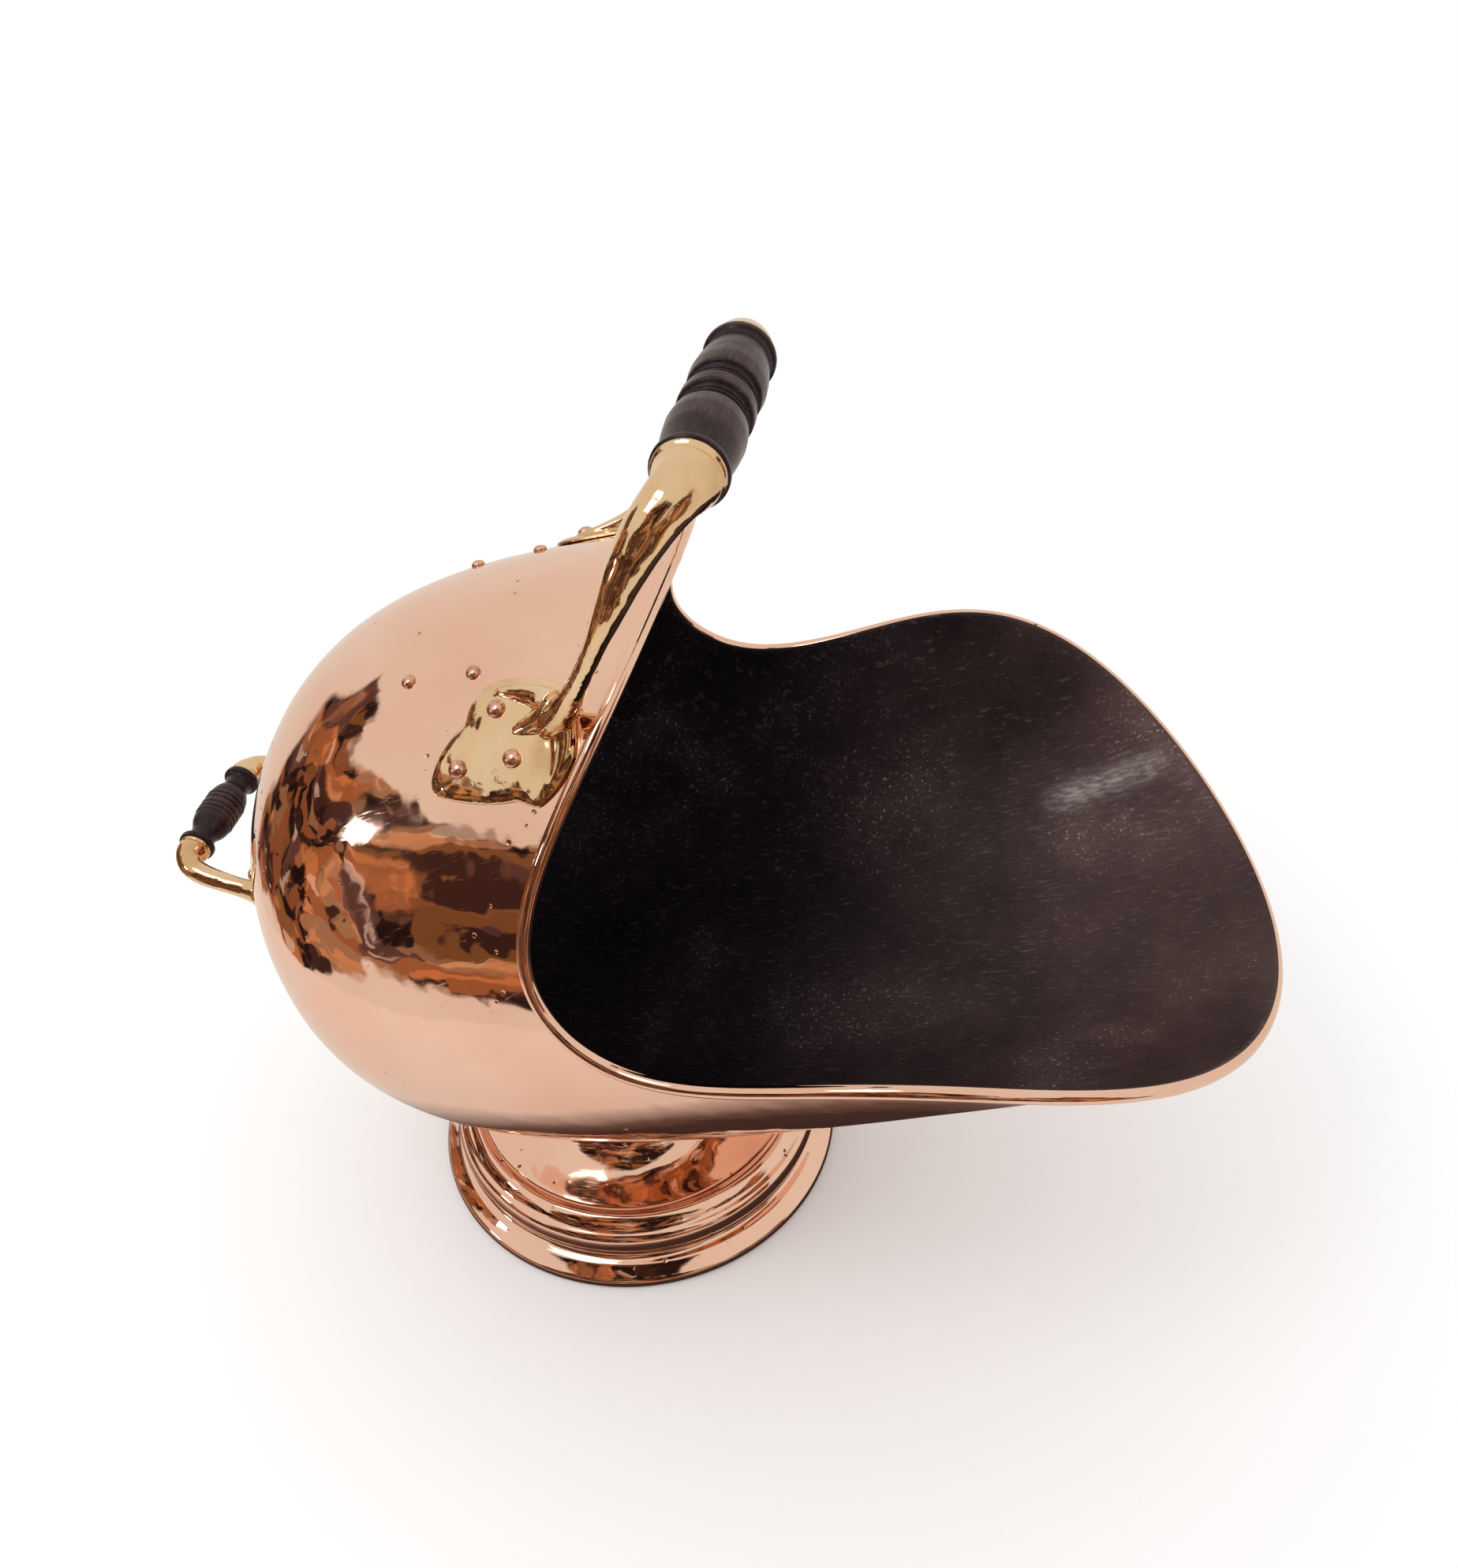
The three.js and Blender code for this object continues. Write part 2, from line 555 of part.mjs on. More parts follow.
// The arm rises from the palm over the rim and opens into a bell that holds the grip's rod.
function armRight() {
  const mouth = gripAxis.clone().setY(-GRIP_LENGTH / 2);
  const elbow = mouth.clone().add(V(0, -8, 0));
  const shoulder = mouth.clone().add(V(-19.2, -33, -29.5));
  const rise = V(0.37, 0.32, 0.87);
  const path = new THREE.CurvePath();
  path.add(new THREE.CubicBezierCurve3(
    inSeat(palmSeat, [14, 6], 1),
    inSeat(palmSeat, [27, 0], 12),
    shoulder.clone().addScaledVector(rise, -22),
    shoulder,
  ));
  path.add(new THREE.CubicBezierCurve3(
    shoulder,
    shoulder.clone().addScaledVector(rise, 14),
    elbow.clone().add(V(0, -12, 0)),
    elbow,
  ));
  path.add(new THREE.LineCurve3(elbow, mouth));
  const shares = [0.31, 0.31, 0.32, 0.34, 0.37, 0.41, 0.45, 0.5, 0.55, 0.6, 0.67, 0.75, 0.88, 0.98, 1];
  const horn = drawnBar(path, shares.map((share) => share * BELL_RADIUS), ARM_SIDES);
  const arm = horn.subtract(within(SEAT_GAP)).add(palm);
  return drilled(arm.subtract(bore(ROD_RADIUS, mouth, V(0, -1, 0), ROD_SEAT)), palmRivets);
}

// A turned grip with a bore, from half of its outline: [distance from its middle, radius].
function turnedGrip(halfOutline, boreRadius, sides) {
  const end = halfOutline[halfOutline.length - 1][0];
  const near = halfOutline.map(([y, r]) => [r, y]);
  const far = near.map(([r, y]) => [r, -y]).reverse();
  return turned([[boreRadius, -end], ...far, ...near, [boreRadius, end]], sides).rotateX(-Math.PI / 2);
}

function handleGrip() {
  const end = GRIP_LENGTH / 2 - SEAT_GAP;
  const [ring, groove, bead] = [GRIP_RADIUS, GRIP_RADIUS - 2.2, GRIP_RADIUS - 1.2];
  const outline = [
    [3.4, ring], [4.2, groove], [5.8, groove], [6.5, bead], [7.2, groove],
    [8.4, groove], [9.1, bead], [9.8, groove], [12.4, groove], [13, ring - 0.2],
    [20, ring + 0.4], [29, ring - 0.3], [end - 4.6, groove], [end - 3, ring - 1.6], [end - 2.2, ring - 0.2], [end, ring - 0.3],
  ];
  return turnedGrip(outline, ROD_RADIUS + SEAT_GAP, GRIP_SIDES).translate(...gripAxis);
}

// The iron rod ends a gap short of the bottom of both bores.
function gripRod(radius, gripLength, seat, axis) {
  const halfLength = gripLength / 2 + seat - SEAT_GAP;
  return rod(radius, axis.clone().setY(-halfLength), V(0, 1, 0), 2 * halfLength, ROD_SIDES);
}

// ---------------------------------------------------------------- rear handle
const rearAxis = V(BACK_X - REAR_GRIP_BEHIND, 0, REAR_GRIP_Z);
const rearSeat = seatAt(onBody(V(BACK_X + 60, -REAR_PALM_Y, REAR_PALM_Z), V(-1, 0, 0)), V(0, 0, 1));
const rearOutline = new THREE.EllipseCurve(0, 0, REAR_PALM_HALF_HEIGHT, REAR_PALM_HALF_WIDTH).getPoints(18).slice(0, -1);
const rearPalm = castLeaf(rearSeat, rearOutline, REAR_PALM_EDGE, REAR_PALM_THICK);
const rearRivets = [1, -1].map((side) =>
  rivet(rearSeat, [(side * REAR_RIVET_SPACING) / 2, 0], SMALL_RIVET_HEAD, [rearPalm, shell]),
);

function rearArmRight() {
  const mouth = rearAxis.clone().setY(-REAR_GRIP_LENGTH / 2);
  const elbow = mouth.clone().add(V(0, -3, 0));
  const root = inSeat(rearSeat, [0, 0], 1);
  const path = new THREE.CurvePath();
  path.add(new THREE.CubicBezierCurve3(
    root,
    root.clone().add(V(-30, 2, 6)),
    elbow.clone().setY(-REAR_PALM_Y),
    elbow,
  ));
  path.add(new THREE.LineCurve3(elbow, mouth));
  const shares = [0.71, 0.57, 0.55, 0.57, 0.59, 0.62, 0.64, 0.66, 0.68, 0.74, 0.95, 1];
  const horn = drawnBar(path, shares.map((share) => share * REAR_FERRULE_RADIUS), REAR_ARM_SIDES);
  const arm = horn.subtract(within(SEAT_GAP)).add(rearPalm);
  return drilled(arm.subtract(bore(REAR_ROD_RADIUS, mouth, V(0, -1, 0), REAR_ROD_SEAT)), rearRivets);
}

function rearGrip() {
  const end = REAR_GRIP_LENGTH / 2 - SEAT_GAP;
  const ridge = REAR_GRIP_RADIUS + 0.9;
  const groove = REAR_GRIP_RADIUS + 0.1;
  const neck = REAR_GRIP_RADIUS - 2.6;
  const outline = [
    [1.3, ridge], [1.9, groove], [2.5, ridge], [4.2, ridge], [4.8, groove], [5.4, ridge], [6.8, ridge], [7.4, groove],
    [8, ridge - 0.4], [11.5, ridge - 1.1], [16.5, neck], [end - 4.4, neck], [end - 3, neck + 1],
    [end - 2.2, REAR_GRIP_RADIUS], [end, REAR_GRIP_RADIUS - 0.3],
  ];
  return turnedGrip(outline, REAR_ROD_RADIUS + SEAT_GAP, REAR_GRIP_SIDES).translate(...rearAxis);
}

// ---------------------------------------------------------------- the assembly
const scuttle = new THREE.Group();
function add(name, geometry, material) {
  const mesh = new THREE.Mesh(geometry, material);
  mesh.name = name;
  scuttle.add(mesh);
}
function addPair(name, rightHand, material, number = "") {
  add(`${name}_right${number}`, rightHand, material);
  add(`${name}_left${number}`, mirrored(rightHand), material);
}

const rivetHoles = [...palmRivets, ...hoodRivets, ...rearRivets].flatMap(({ hole }) => [
  { hole },
  { hole: hole.mirror([0, 1, 0]) },
]);
add("body_shell", toGeometry(drilled(shell, rivetHoles)), copper);
add("rim_wire", rimWire(), iron);
add("foot", foot(), copper);
add("foot_wire", turned(arc(footRoll, FOOT_WIRE_RADIUS, 0, 360 - 360 / WIRE_SIDES, WIRE_SIDES - 1), FOOT_SIDES), iron);
addPair("arm", toGeometry(armRight()), brass);
addPair("doubler", toGeometry(drilled(doubler, [...palmRivets, ...hoodRivets])), copper);
add("handle_grip", handleGrip(), ebonised);
add("handle_rod", gripRod(ROD_RADIUS, GRIP_LENGTH, ROD_SEAT, gripAxis), iron);
palmRivets.forEach(({ geometry }, i) => addPair("palm_rivet", geometry, copper, `_${i + 1}`));
hoodRivets.forEach(({ geometry }, i) => addPair("hood_rivet", geometry, copper, `_${i + 1}`));
addPair("rear_arm", toGeometry(rearArmRight()), brass);
add("rear_grip", rearGrip(), ebonised);
add("rear_rod", gripRod(REAR_ROD_RADIUS, REAR_GRIP_LENGTH, REAR_ROD_SEAT, rearAxis), iron);
rearRivets.forEach(({ geometry }, i) => addPair("rear_rivet", geometry, copper, `_${i + 1}`));

// The frame lies on the floor under the middle of the scuttle's length.
scuttle.position.x = -new THREE.Box3().setFromObject(scuttle).getCenter(V(0, 0, 0)).x;

export default scuttle;
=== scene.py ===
import math

import bmesh
import bpy
import numpy as np
from mathutils import Matrix, Vector, noise
from mathutils.bvhtree import BVHTree


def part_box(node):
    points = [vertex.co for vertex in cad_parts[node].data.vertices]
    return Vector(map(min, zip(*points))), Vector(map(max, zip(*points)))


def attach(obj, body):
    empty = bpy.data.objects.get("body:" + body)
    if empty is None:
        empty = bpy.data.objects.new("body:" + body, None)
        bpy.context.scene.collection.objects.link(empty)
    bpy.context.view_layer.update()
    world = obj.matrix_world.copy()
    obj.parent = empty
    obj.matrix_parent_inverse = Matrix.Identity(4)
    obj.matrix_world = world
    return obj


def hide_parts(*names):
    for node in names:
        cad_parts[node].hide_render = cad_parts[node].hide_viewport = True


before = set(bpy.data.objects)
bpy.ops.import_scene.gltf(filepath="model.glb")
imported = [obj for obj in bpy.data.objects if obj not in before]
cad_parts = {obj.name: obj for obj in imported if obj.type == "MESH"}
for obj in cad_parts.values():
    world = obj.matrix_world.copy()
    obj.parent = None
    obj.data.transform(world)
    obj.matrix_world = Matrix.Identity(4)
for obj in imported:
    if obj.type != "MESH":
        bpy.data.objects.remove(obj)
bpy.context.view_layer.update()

# ---------------------------------------------------------------- where the scuttle stands
# The helmet is set out in millimetres from the axis of its round foot, which the frame gives. Each finished
# mesh is brought into the frame once, by the same move.
foot_low, foot_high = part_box("foot")
MM = 0.001
TO_FRAME = Matrix.Translation(((foot_low.x + foot_high.x) / 2, 0, 0)) @ Matrix.Scale(MM, 4)
SCUTTLE = "scuttle"

# ---------------------------------------------------------------- camera
# The photograph was taken by hand from in front and above, with the camera a little tilted. The camera's
# place is in millimetres from the foot's axis, as the helmet is.
CAMERA_PLACE = (176.2, -481.1, 668.0)
CAMERA_ROUND, CAMERA_DOWN, CAMERA_TILT = (math.radians(a) for a in (13.42, 40.29, -3.54))
PHOTO_HEIGHT = 1988
FOCAL_PIXELS = 1876.9

back = Vector((
    math.sin(CAMERA_ROUND) * math.cos(CAMERA_DOWN),
    -math.cos(CAMERA_ROUND) * math.cos(CAMERA_DOWN),
    math.sin(CAMERA_DOWN),
))
level = Vector((0, 0, 1)).cross(back).normalized()
right = level * math.cos(CAMERA_TILT) + back.cross(level) * math.sin(CAMERA_TILT)
camera = bpy.data.objects.new("camera", bpy.data.cameras.new("camera"))
camera.matrix_world = (
    Matrix.Translation(TO_FRAME @ Vector(CAMERA_PLACE))
    @ Matrix((right, back.cross(right), back)).transposed().to_4x4()
)
camera.data.sensor_width = 36
camera.data.lens = FOCAL_PIXELS * camera.data.sensor_width / PHOTO_HEIGHT
camera.data.clip_start = 0.01
bpy.context.scene.collection.objects.link(camera)
bpy.context.scene.camera = camera
bpy.context.scene.view_settings.view_transform = "Standard"

# ---------------------------------------------------------------- studio
# A round pale table in plain white light. Polished metal mirrors a cluttered room round the table, under a
# pale ceiling,
# and a painted shadow: a darker patch of table beneath the scuttle. Only reflections see these.
TABLE_RADIUS = 0.52
TABLE_PLAIN = (0.76, 0.73, 0.69)
# Painted shadow: seen in reflections, the table darkens towards its middle, beneath the scuttle.
TABLE_MIRRORED_SHADOW = ((0.125, (0.060, 0.030, 0.024)), (0.15, (0.16, 0.10, 0.08)), (0.21, (0.78, 0.73, 0.67)))
PALE = (0.80, 0.75, 0.68)
WHITE = (1.0, 1.0, 1.0)
ROOM_CELLS = (
    (0.00, (0.016, 0.008, 0.007)), (0.30, (0.075, 0.034, 0.028)), (0.44, (0.17, 0.085, 0.070)),
    (0.52, (0.56, 0.22, 0.085)), (0.66, (0.42, 0.20, 0.07)), (0.74, (0.030, 0.014, 0.012)),
    (0.86, (0.62, 0.36, 0.20)), (0.91, (0.90, 0.80, 0.70)), (0.94, (0.11, 0.055, 0.045)),
)
ROOM_SCALES = (4.2, 11.0)
FRONT = (-0.26, -0.97, 0)
SCREEN = (0.082, -0.936, 0.342)


def new_material(name):
    """An empty node material, its tree, and its Principled shader."""
    material = bpy.data.materials.new(name)
    material.use_nodes = True
    tree = material.node_tree
    return material, tree, tree.nodes["Principled BSDF"]


def node(tree, kind, inputs=None, **settings):
    """A shader node. An input is a value or the output socket of another node."""
    made = tree.nodes.new(kind)
    for key, value in settings.items():
        setattr(made, key, value)
    for key, value in (inputs or {}).items():
        if isinstance(value, bpy.types.NodeSocket):
            tree.links.new(value, made.inputs[key])
        else:
            made.inputs[key].default_value = value
    return made


def ramp(tree, factor, *stops):
    """A colour ramp through (position, colour) stops; a colour may be one grey value."""
    made = tree.nodes.new("ShaderNodeValToRGB")
    elements = made.color_ramp.elements
    while len(elements) < len(stops):
        elements.new(0.5)
    for element, (position, colour) in zip(elements, stops):
        element.position = position
        element.color = (colour, colour, colour, 1) if isinstance(colour, (int, float)) else (*colour, 1)
    tree.links.new(factor, made.inputs["Fac"])
    return made.outputs["Color"]


def mix(tree, factor, first, second):
    made = tree.nodes.new("ShaderNodeMix")
    made.data_type = "RGBA"
    for socket, value in ((made.inputs["Factor"], factor), (made.inputs[6], first), (made.inputs[7], second)):
        if isinstance(value, bpy.types.NodeSocket):
            tree.links.new(value, socket)
        else:
            socket.default_value = (*value, 1) if isinstance(value, tuple) else value
    return made.outputs[2]


def cloudy(tree, place, scale, detail):
    """A cloudy mask that follows a place."""
    made = node(tree, "ShaderNodeTexNoise", {"Vector": place, "Scale": scale, "Detail": detail})
    return made.outputs["Fac"]


def vectors(tree, operation, result, *values):
    """One result of vector arithmetic."""
    made = node(tree, "ShaderNodeVectorMath", dict(enumerate(values)), operation=operation)
    return made.outputs[result]


def maths(tree, operation, *values):
    """Arithmetic on values and masks."""
    made = tree.nodes.new("ShaderNodeMath")
    made.operation = operation
    for socket, value in zip(made.inputs, values):
        if isinstance(value, bpy.types.NodeSocket):
            tree.links.new(value, socket)
        else:
            socket.default_value = value
    return made.outputs[0]


table = bmesh.new()
bmesh.ops.create_circle(table, cap_ends=True, radius=TABLE_RADIUS, segments=96)
table_mesh = bpy.data.meshes.new("table_top")
table.to_mesh(table_mesh)
table_top = bpy.data.objects.new("table_top", table_mesh)
bpy.context.scene.collection.objects.link(table_top)
paint, tree, shader = new_material("pale_table")
rays = node(tree, "ShaderNodeLightPath").outputs
place = node(tree, "ShaderNodeTexCoord").outputs["Object"]
from_middle = vectors(tree, "LENGTH", "Value", place)
# Reflections see the table with its painted shadow, and the camera sees it white.
seen = mix(tree, rays["Is Glossy Ray"], TABLE_PLAIN, ramp(tree, from_middle, *TABLE_MIRRORED_SHADOW))
tree.links.new(mix(tree, rays["Is Camera Ray"], seen, WHITE), shader.inputs["Base Color"])
shader.inputs["Roughness"].default_value = 0.9
table_mesh.materials.append(paint)

world = bpy.data.worlds.new("studio")
bpy.context.scene.world = world
world.use_nodes = True
tree = world.node_tree
tree.nodes.clear()
direction = node(tree, "ShaderNodeTexCoord").outputs["Generated"]
wander = node(tree, "ShaderNodeTexNoise", {"Vector": direction, "Scale": 2.2, "Detail": 4.0}).outputs
height = node(tree, "ShaderNodeSeparateXYZ", {0: direction}).outputs["Z"]


def towards(aim):
    """How closely a direction of the world agrees with an aim."""
    return vectors(tree, "DOT_PRODUCT", "Value", direction, aim)


wobbling = maths(tree, "MULTIPLY_ADD", wander["Fac"], 0.30, maths(tree, "MULTIPLY_ADD", height, 0.5, 0.35))
band = ramp(tree, wobbling, (0.250, 0.0), (0.262, 1.0), (0.705, 1.0), (0.715, 0.0))
ragged = maths(tree, "MULTIPLY_ADD", wander["Fac"], 0.5, towards(FRONT))
in_front = ramp(tree, ragged, (0.10, 0.0), (0.14, 1.0))
tall = maths(tree, "MULTIPLY_ADD", wander["Fac"], 0.25, towards(SCREEN))
screen = ramp(tree, tall, (0.93, 0.0), (0.95, 1.0))
bent = vectors(tree, "MULTIPLY_ADD", 0, wander["Color"], (0.55, 0.55, 0.8), direction)
stretched = node(tree, "ShaderNodeMapping", {"Vector": bent, "Scale": (1.0, 1.0, 1.5)}).outputs[0]
clutter = []
for scale in ROOM_SCALES:
    cells = node(tree, "ShaderNodeTexVoronoi", {"Vector": stretched, "Scale": scale})
    picked = node(tree, "ShaderNodeSeparateColor", {0: cells.outputs["Color"]}).outputs["Red"]
    clutter.append(ramp(tree, picked, *ROOM_CELLS))
    clutter[-1].node.color_ramp.interpolation = "CONSTANT"
room = mix(tree, 0.42, *clutter)
where = maths(tree, "MAXIMUM", maths(tree, "MULTIPLY", band, in_front), screen)
mirrored = node(tree, "ShaderNodeBackground", {"Color": mix(tree, where, PALE, room), "Strength": 1.0})
plain = node(tree, "ShaderNodeBackground", {"Color": (*WHITE, 1), "Strength": 1.0})
rays = node(tree, "ShaderNodeLightPath").outputs
choice = node(tree, "ShaderNodeMixShader", {
    "Fac": rays["Is Glossy Ray"], 1: plain.outputs[0], 2: mirrored.outputs[0],
})
node(tree, "ShaderNodeOutputWorld", {"Surface": choice.outputs[0]})


def soft_lamp(name, place, size, power):
    lamp = bpy.data.objects.new(name, bpy.data.lights.new(name, "AREA"))
    lamp.data.size = size
    lamp.data.energy = power
    lamp.location = place
    lamp.rotation_mode = "QUATERNION"
    lamp.rotation_quaternion = (Vector(place) - Vector((0, 0, 0.2))).to_track_quat("Z", "Y")
    bpy.context.scene.collection.objects.link(lamp)


soft_lamp("ceiling_lamp", (-0.5, -0.6, 1.5), 0.5, 3)
soft_lamp("window", (-1.45, -0.75, 0.62), 0.14, 0.9)

# ---------------------------------------------------------------- helmet: its form
# One copper sheet raised with hammers over stakes. From the round nose at the back its width, keel, crown and
# widest line follow smooth curves, and every section is two half ellipses. The edge runs over the hood, dips
# at the waist, rises at the cheeks and comes down to the lip.
SHEET = 1.0
AIR = 0.3
BACK_X, BACK_Z = -160.2, 198.6
HALF_WIDTHS = ((-120, 94.7), (0, 133.2), (130, 156.6), (302, 227.4))
KEEL_HEIGHTS = ((-120, 88.6), (0, 77.6), (130, 114.1), (302, 180.6))
CROWN_HEIGHTS = ((-120, 296.1), (-60, 332.5), (46, 361.0))
BEAM_HEIGHTS = ((-120, 193.5), (46, 212.3), (200, 412.7))
HOOD_X = 45.4
EDGE_BACK = (7.6, 262.4)
WAIST = (53, 220)
CHEEK = (166.5, 245.5)
LIP_X = 302
HEART = np.array((HOOD_X - 8, 0, BACK_Z + 38))
POLE = np.array((-0.85, 0, -0.53)) / math.hypot(0.85, 0.53)


def round_nosed(stations, nose):
    """A curve through (x, value) stations that leaves the nose like the end of an egg."""
    shares = [(x, (value - nose) / math.sqrt(x - BACK_X)) for x, value in stations]

    def curve(x):
        total = 0
        for i, (xi, share) in enumerate(shares):
            for j, (xj, _) in enumerate(shares):
                if j != i:
                    share = share * (x - xj) / (xi - xj)
            total = total + share
        return nose + np.sqrt(np.maximum(x - BACK_X, 1e-6)) * total

    return curve


half_width = round_nosed(HALF_WIDTHS, 0)
keel = round_nosed(KEEL_HEIGHTS, BACK_Z)
crown = round_nosed(CROWN_HEIGHTS, BACK_Z)
beam = round_nosed(BEAM_HEIGHTS, BACK_Z)


def beyond(p):
    """0 on the helmet's outer face, below 0 inside it and above 0 outside."""
    x, y, z = p[..., 0], p[..., 1], p[..., 2]
    rise = z - beam(x)
    reach = np.where(rise > 0, crown(np.minimum(x, HOOD_X)) - beam(x), beam(x) - keel(x))
    return np.where(x <= BACK_X, 1 + BACK_X - x, np.hypot(y / half_width(x), rise / np.maximum(reach, 1)) - 1)


def outward(p):
    """The helmet's outward direction at points on it."""
    steps = np.eye(3) * 0.05
    slope = np.stack([beyond(p + step) - beyond(p - step) for step in steps], -1)
    return slope / np.linalg.norm(slope, axis=-1, keepdims=True)


def on_body(start, along, furthest=450.0):
    """Where lines from inside the helmet meet its outer face."""
    along = np.asarray(along, float)
    near = np.zeros(along.shape[:-1])
    far = near + furthest
    for _ in range(40):
        middle = (near + far) / 2
        inside = beyond(start + along * middle[..., None]) < 0
        near, far = np.where(inside, middle, near), np.where(inside, far, middle)
    return start + along * near[..., None]


def bezier(p0, p1, p2, p3, steps):
    t = np.linspace(0, 1, steps + 1)[:, None]
    p0, p1, p2, p3 = map(np.asarray, (p0, p1, p2, p3))
    return (1 - t) ** 3 * p0 + 3 * t * (1 - t) ** 2 * p1 + 3 * t ** 2 * (1 - t) * p2 + t ** 3 * p3


def rim_line(count):
    """The rim as even points: from the hood's top down the left, round the lip and back on the right."""
    top, lip = float(crown(HOOD_X)), float(keel(LIP_X))
    side = np.vstack([
        bezier((HOOD_X, top), (HOOD_X - 21, top - 43.5), (EDGE_BACK[0], EDGE_BACK[1] + 26.5), EDGE_BACK, 400),
        bezier(EDGE_BACK, (EDGE_BACK[0], EDGE_BACK[1] - 23.5), (WAIST[0] - 25.5, WAIST[1]), WAIST, 400)[1:],
        bezier(WAIST, (WAIST[0] + 37, WAIST[1]), (CHEEK[0] - 42.5, CHEEK[1]), CHEEK, 400)[1:],
        bezier(CHEEK, (CHEEK[0] + 47.5, CHEEK[1]), (LIP_X - 42.5, lip + 28.6), (LIP_X, lip), 400)[1:],
    ])
    x, z = side.T
    rise = z - beam(x)
    reach = np.where(rise > 0, crown(x) - beam(x), beam(x) - keel(x))
    y = half_width(x) * np.sqrt(np.maximum(0, 1 - (rise / reach) ** 2))
    y[0] = y[-1] = 0
    left = np.column_stack([x, y, z])
    walked = np.concatenate([[0], np.cumsum(np.linalg.norm(np.diff(left, axis=0), axis=1))])
    even = np.linspace(0, walked[-1], count // 2 + 1)
    left = np.column_stack([np.interp(even, walked, left[:, k]) for k in range(3)])
    return np.vstack([left, left[-2:0:-1] * (1, -1, 1)])


RIM_STEPS = 320
rim = rim_line(RIM_STEPS)


def dents(points):
    """How far hammering lifts or sinks the sheet, in broad waves and small, with none of it near the rim."""
    marks = np.array([
        0.28 * noise.noise(at / 62) + 0.13 * noise.noise(at / 24 + Vector((7, 3, 1)))
        for at in map(Vector, points)
    ])
    inland = np.min(np.linalg.norm(points[:, None] - rim[None], axis=2), axis=1)
    return (marks * np.clip((inland - 2) / 34, 0, 1))[:, None]


def lifted(points, height):
    """Points of the helmet's outer face, lifted over the hammered sheet."""
    return points + outward(points) * (height + dents(points))


# ---------------------------------------------------------------- helmet: the sheet
# The sheet runs from the back of the belly to the rim, is rolled outwards round an iron wire, and shows its
# inner face, black from coal, all the way back.

def node_group(name, inputs, outputs):
    """An empty shader node group with named sockets: its tree, and the sockets inside it."""
    tree = bpy.data.node_groups.new(name, "ShaderNodeTree")
    for in_out, sockets in (("INPUT", inputs), ("OUTPUT", outputs)):
        for socket, kind in sockets.items():
            tree.interface.new_socket(socket, in_out=in_out, socket_type=f"NodeSocket{kind}")
    return tree, tree.nodes.new("NodeGroupInput").outputs, tree.nodes.new("NodeGroupOutput").inputs


def scratch_group():
    """Fine parallel scratches, left by rubbing one way."""
    sockets = {"Place": "Vector", "Turn": "Vector", "Stretch": "Vector", "Scale": "Float", "Detail": "Float"}
    tree, given, result = node_group("rubbed_scratches", sockets, {"Scratches": "Float"})
    rubbed = node(tree, "ShaderNodeMapping", {
        "Vector": given["Place"], "Rotation": given["Turn"], "Scale": given["Stretch"],
    }).outputs[0]
    tree.links.new(cloudy(tree, rubbed, given["Scale"], given["Detail"]), result["Scratches"])
    return tree


def uneven_group():
    """The soft waves that hammers leave in sheet and sand leaves on castings, as a normal."""
    sockets = {"Place": "Vector", "Scale": "Float", "Depth": "Float"}
    tree, given, result = node_group("uneven_surface", sockets, {"Normal": "Vector"})
    waves = cloudy(tree, given["Place"], given["Scale"], 1.0)
    bump = node(tree, "ShaderNodeBump", {"Height": waves, "Strength": 1.0, "Distance": given["Depth"]})
    tree.links.new(bump.outputs[0], result["Normal"])
    return tree


rubbed_scratches = scratch_group()
uneven_surface = uneven_group()


def copper_finish():
    """Polished copper: clouded a little, pitted here and there, hazed and scratched by rubbing."""
    material, tree, shader = new_material("polished_copper")
    place = node(tree, "ShaderNodeTexCoord").outputs["Object"]
    cloud = cloudy(tree, place, 14.0, 4.0)
    warm = ramp(tree, cloud, (0.35, (0.90, 0.57, 0.43)), (0.65, (0.95, 0.64, 0.50)))
    spot = node(tree, "ShaderNodeTexVoronoi", {"Vector": place, "Scale": 150.0}).outputs["Distance"]
    rare = cloudy(tree, place, 46.0, 1.0)
    chosen = ramp(tree, rare, (0.60, 0.0), (0.66, 1.0))
    pits = maths(tree, "MULTIPLY", ramp(tree, spot, (0.08, 1.0), (0.17, 0.0)), chosen)
    tree.links.new(mix(tree, pits, warm, (0.22, 0.08, 0.05)), shader.inputs["Base Color"])
    haze = cloudy(tree, place, 26.0, 6.0)
    scratches = node(tree, "ShaderNodeGroup", {
        "Place": place, "Turn": (0.4, 0.3, 0.9), "Stretch": (1, 14, 1), "Scale": 130.0, "Detail": 3.0,
    }, node_tree=rubbed_scratches).outputs["Scratches"]
    dulled = ramp(tree, scratches, (0.60, 0.0), (0.72, 0.11))
    roughness = maths(tree, "ADD", ramp(tree, haze, (0.35, 0.02), (0.75, 0.08)), dulled)
    tree.links.new(roughness, shader.inputs["Roughness"])
    hammered = node(tree, "ShaderNodeGroup", {
        "Place": place, "Scale": 72.0, "Depth": 0.00022,
    }, node_tree=uneven_surface).outputs["Normal"]
    sunk = node(tree, "ShaderNodeBump", {
        "Height": pits, "Strength": 1.0, "Distance": 0.0003, "Normal": hammered,
    })
    sunk.invert = True
    tree.links.new(sunk.outputs[0], shader.inputs["Normal"])
    shader.inputs["Metallic"].default_value = 1.0
    return material


# Painted highlight: the two ends of a pale sheen streak on the inside of the left cheek.
SHEEN_FROM, SHEEN_TO = (TO_FRAME @ Vector(end) for end in ((197, 90, 173), (259, 98, 207)))


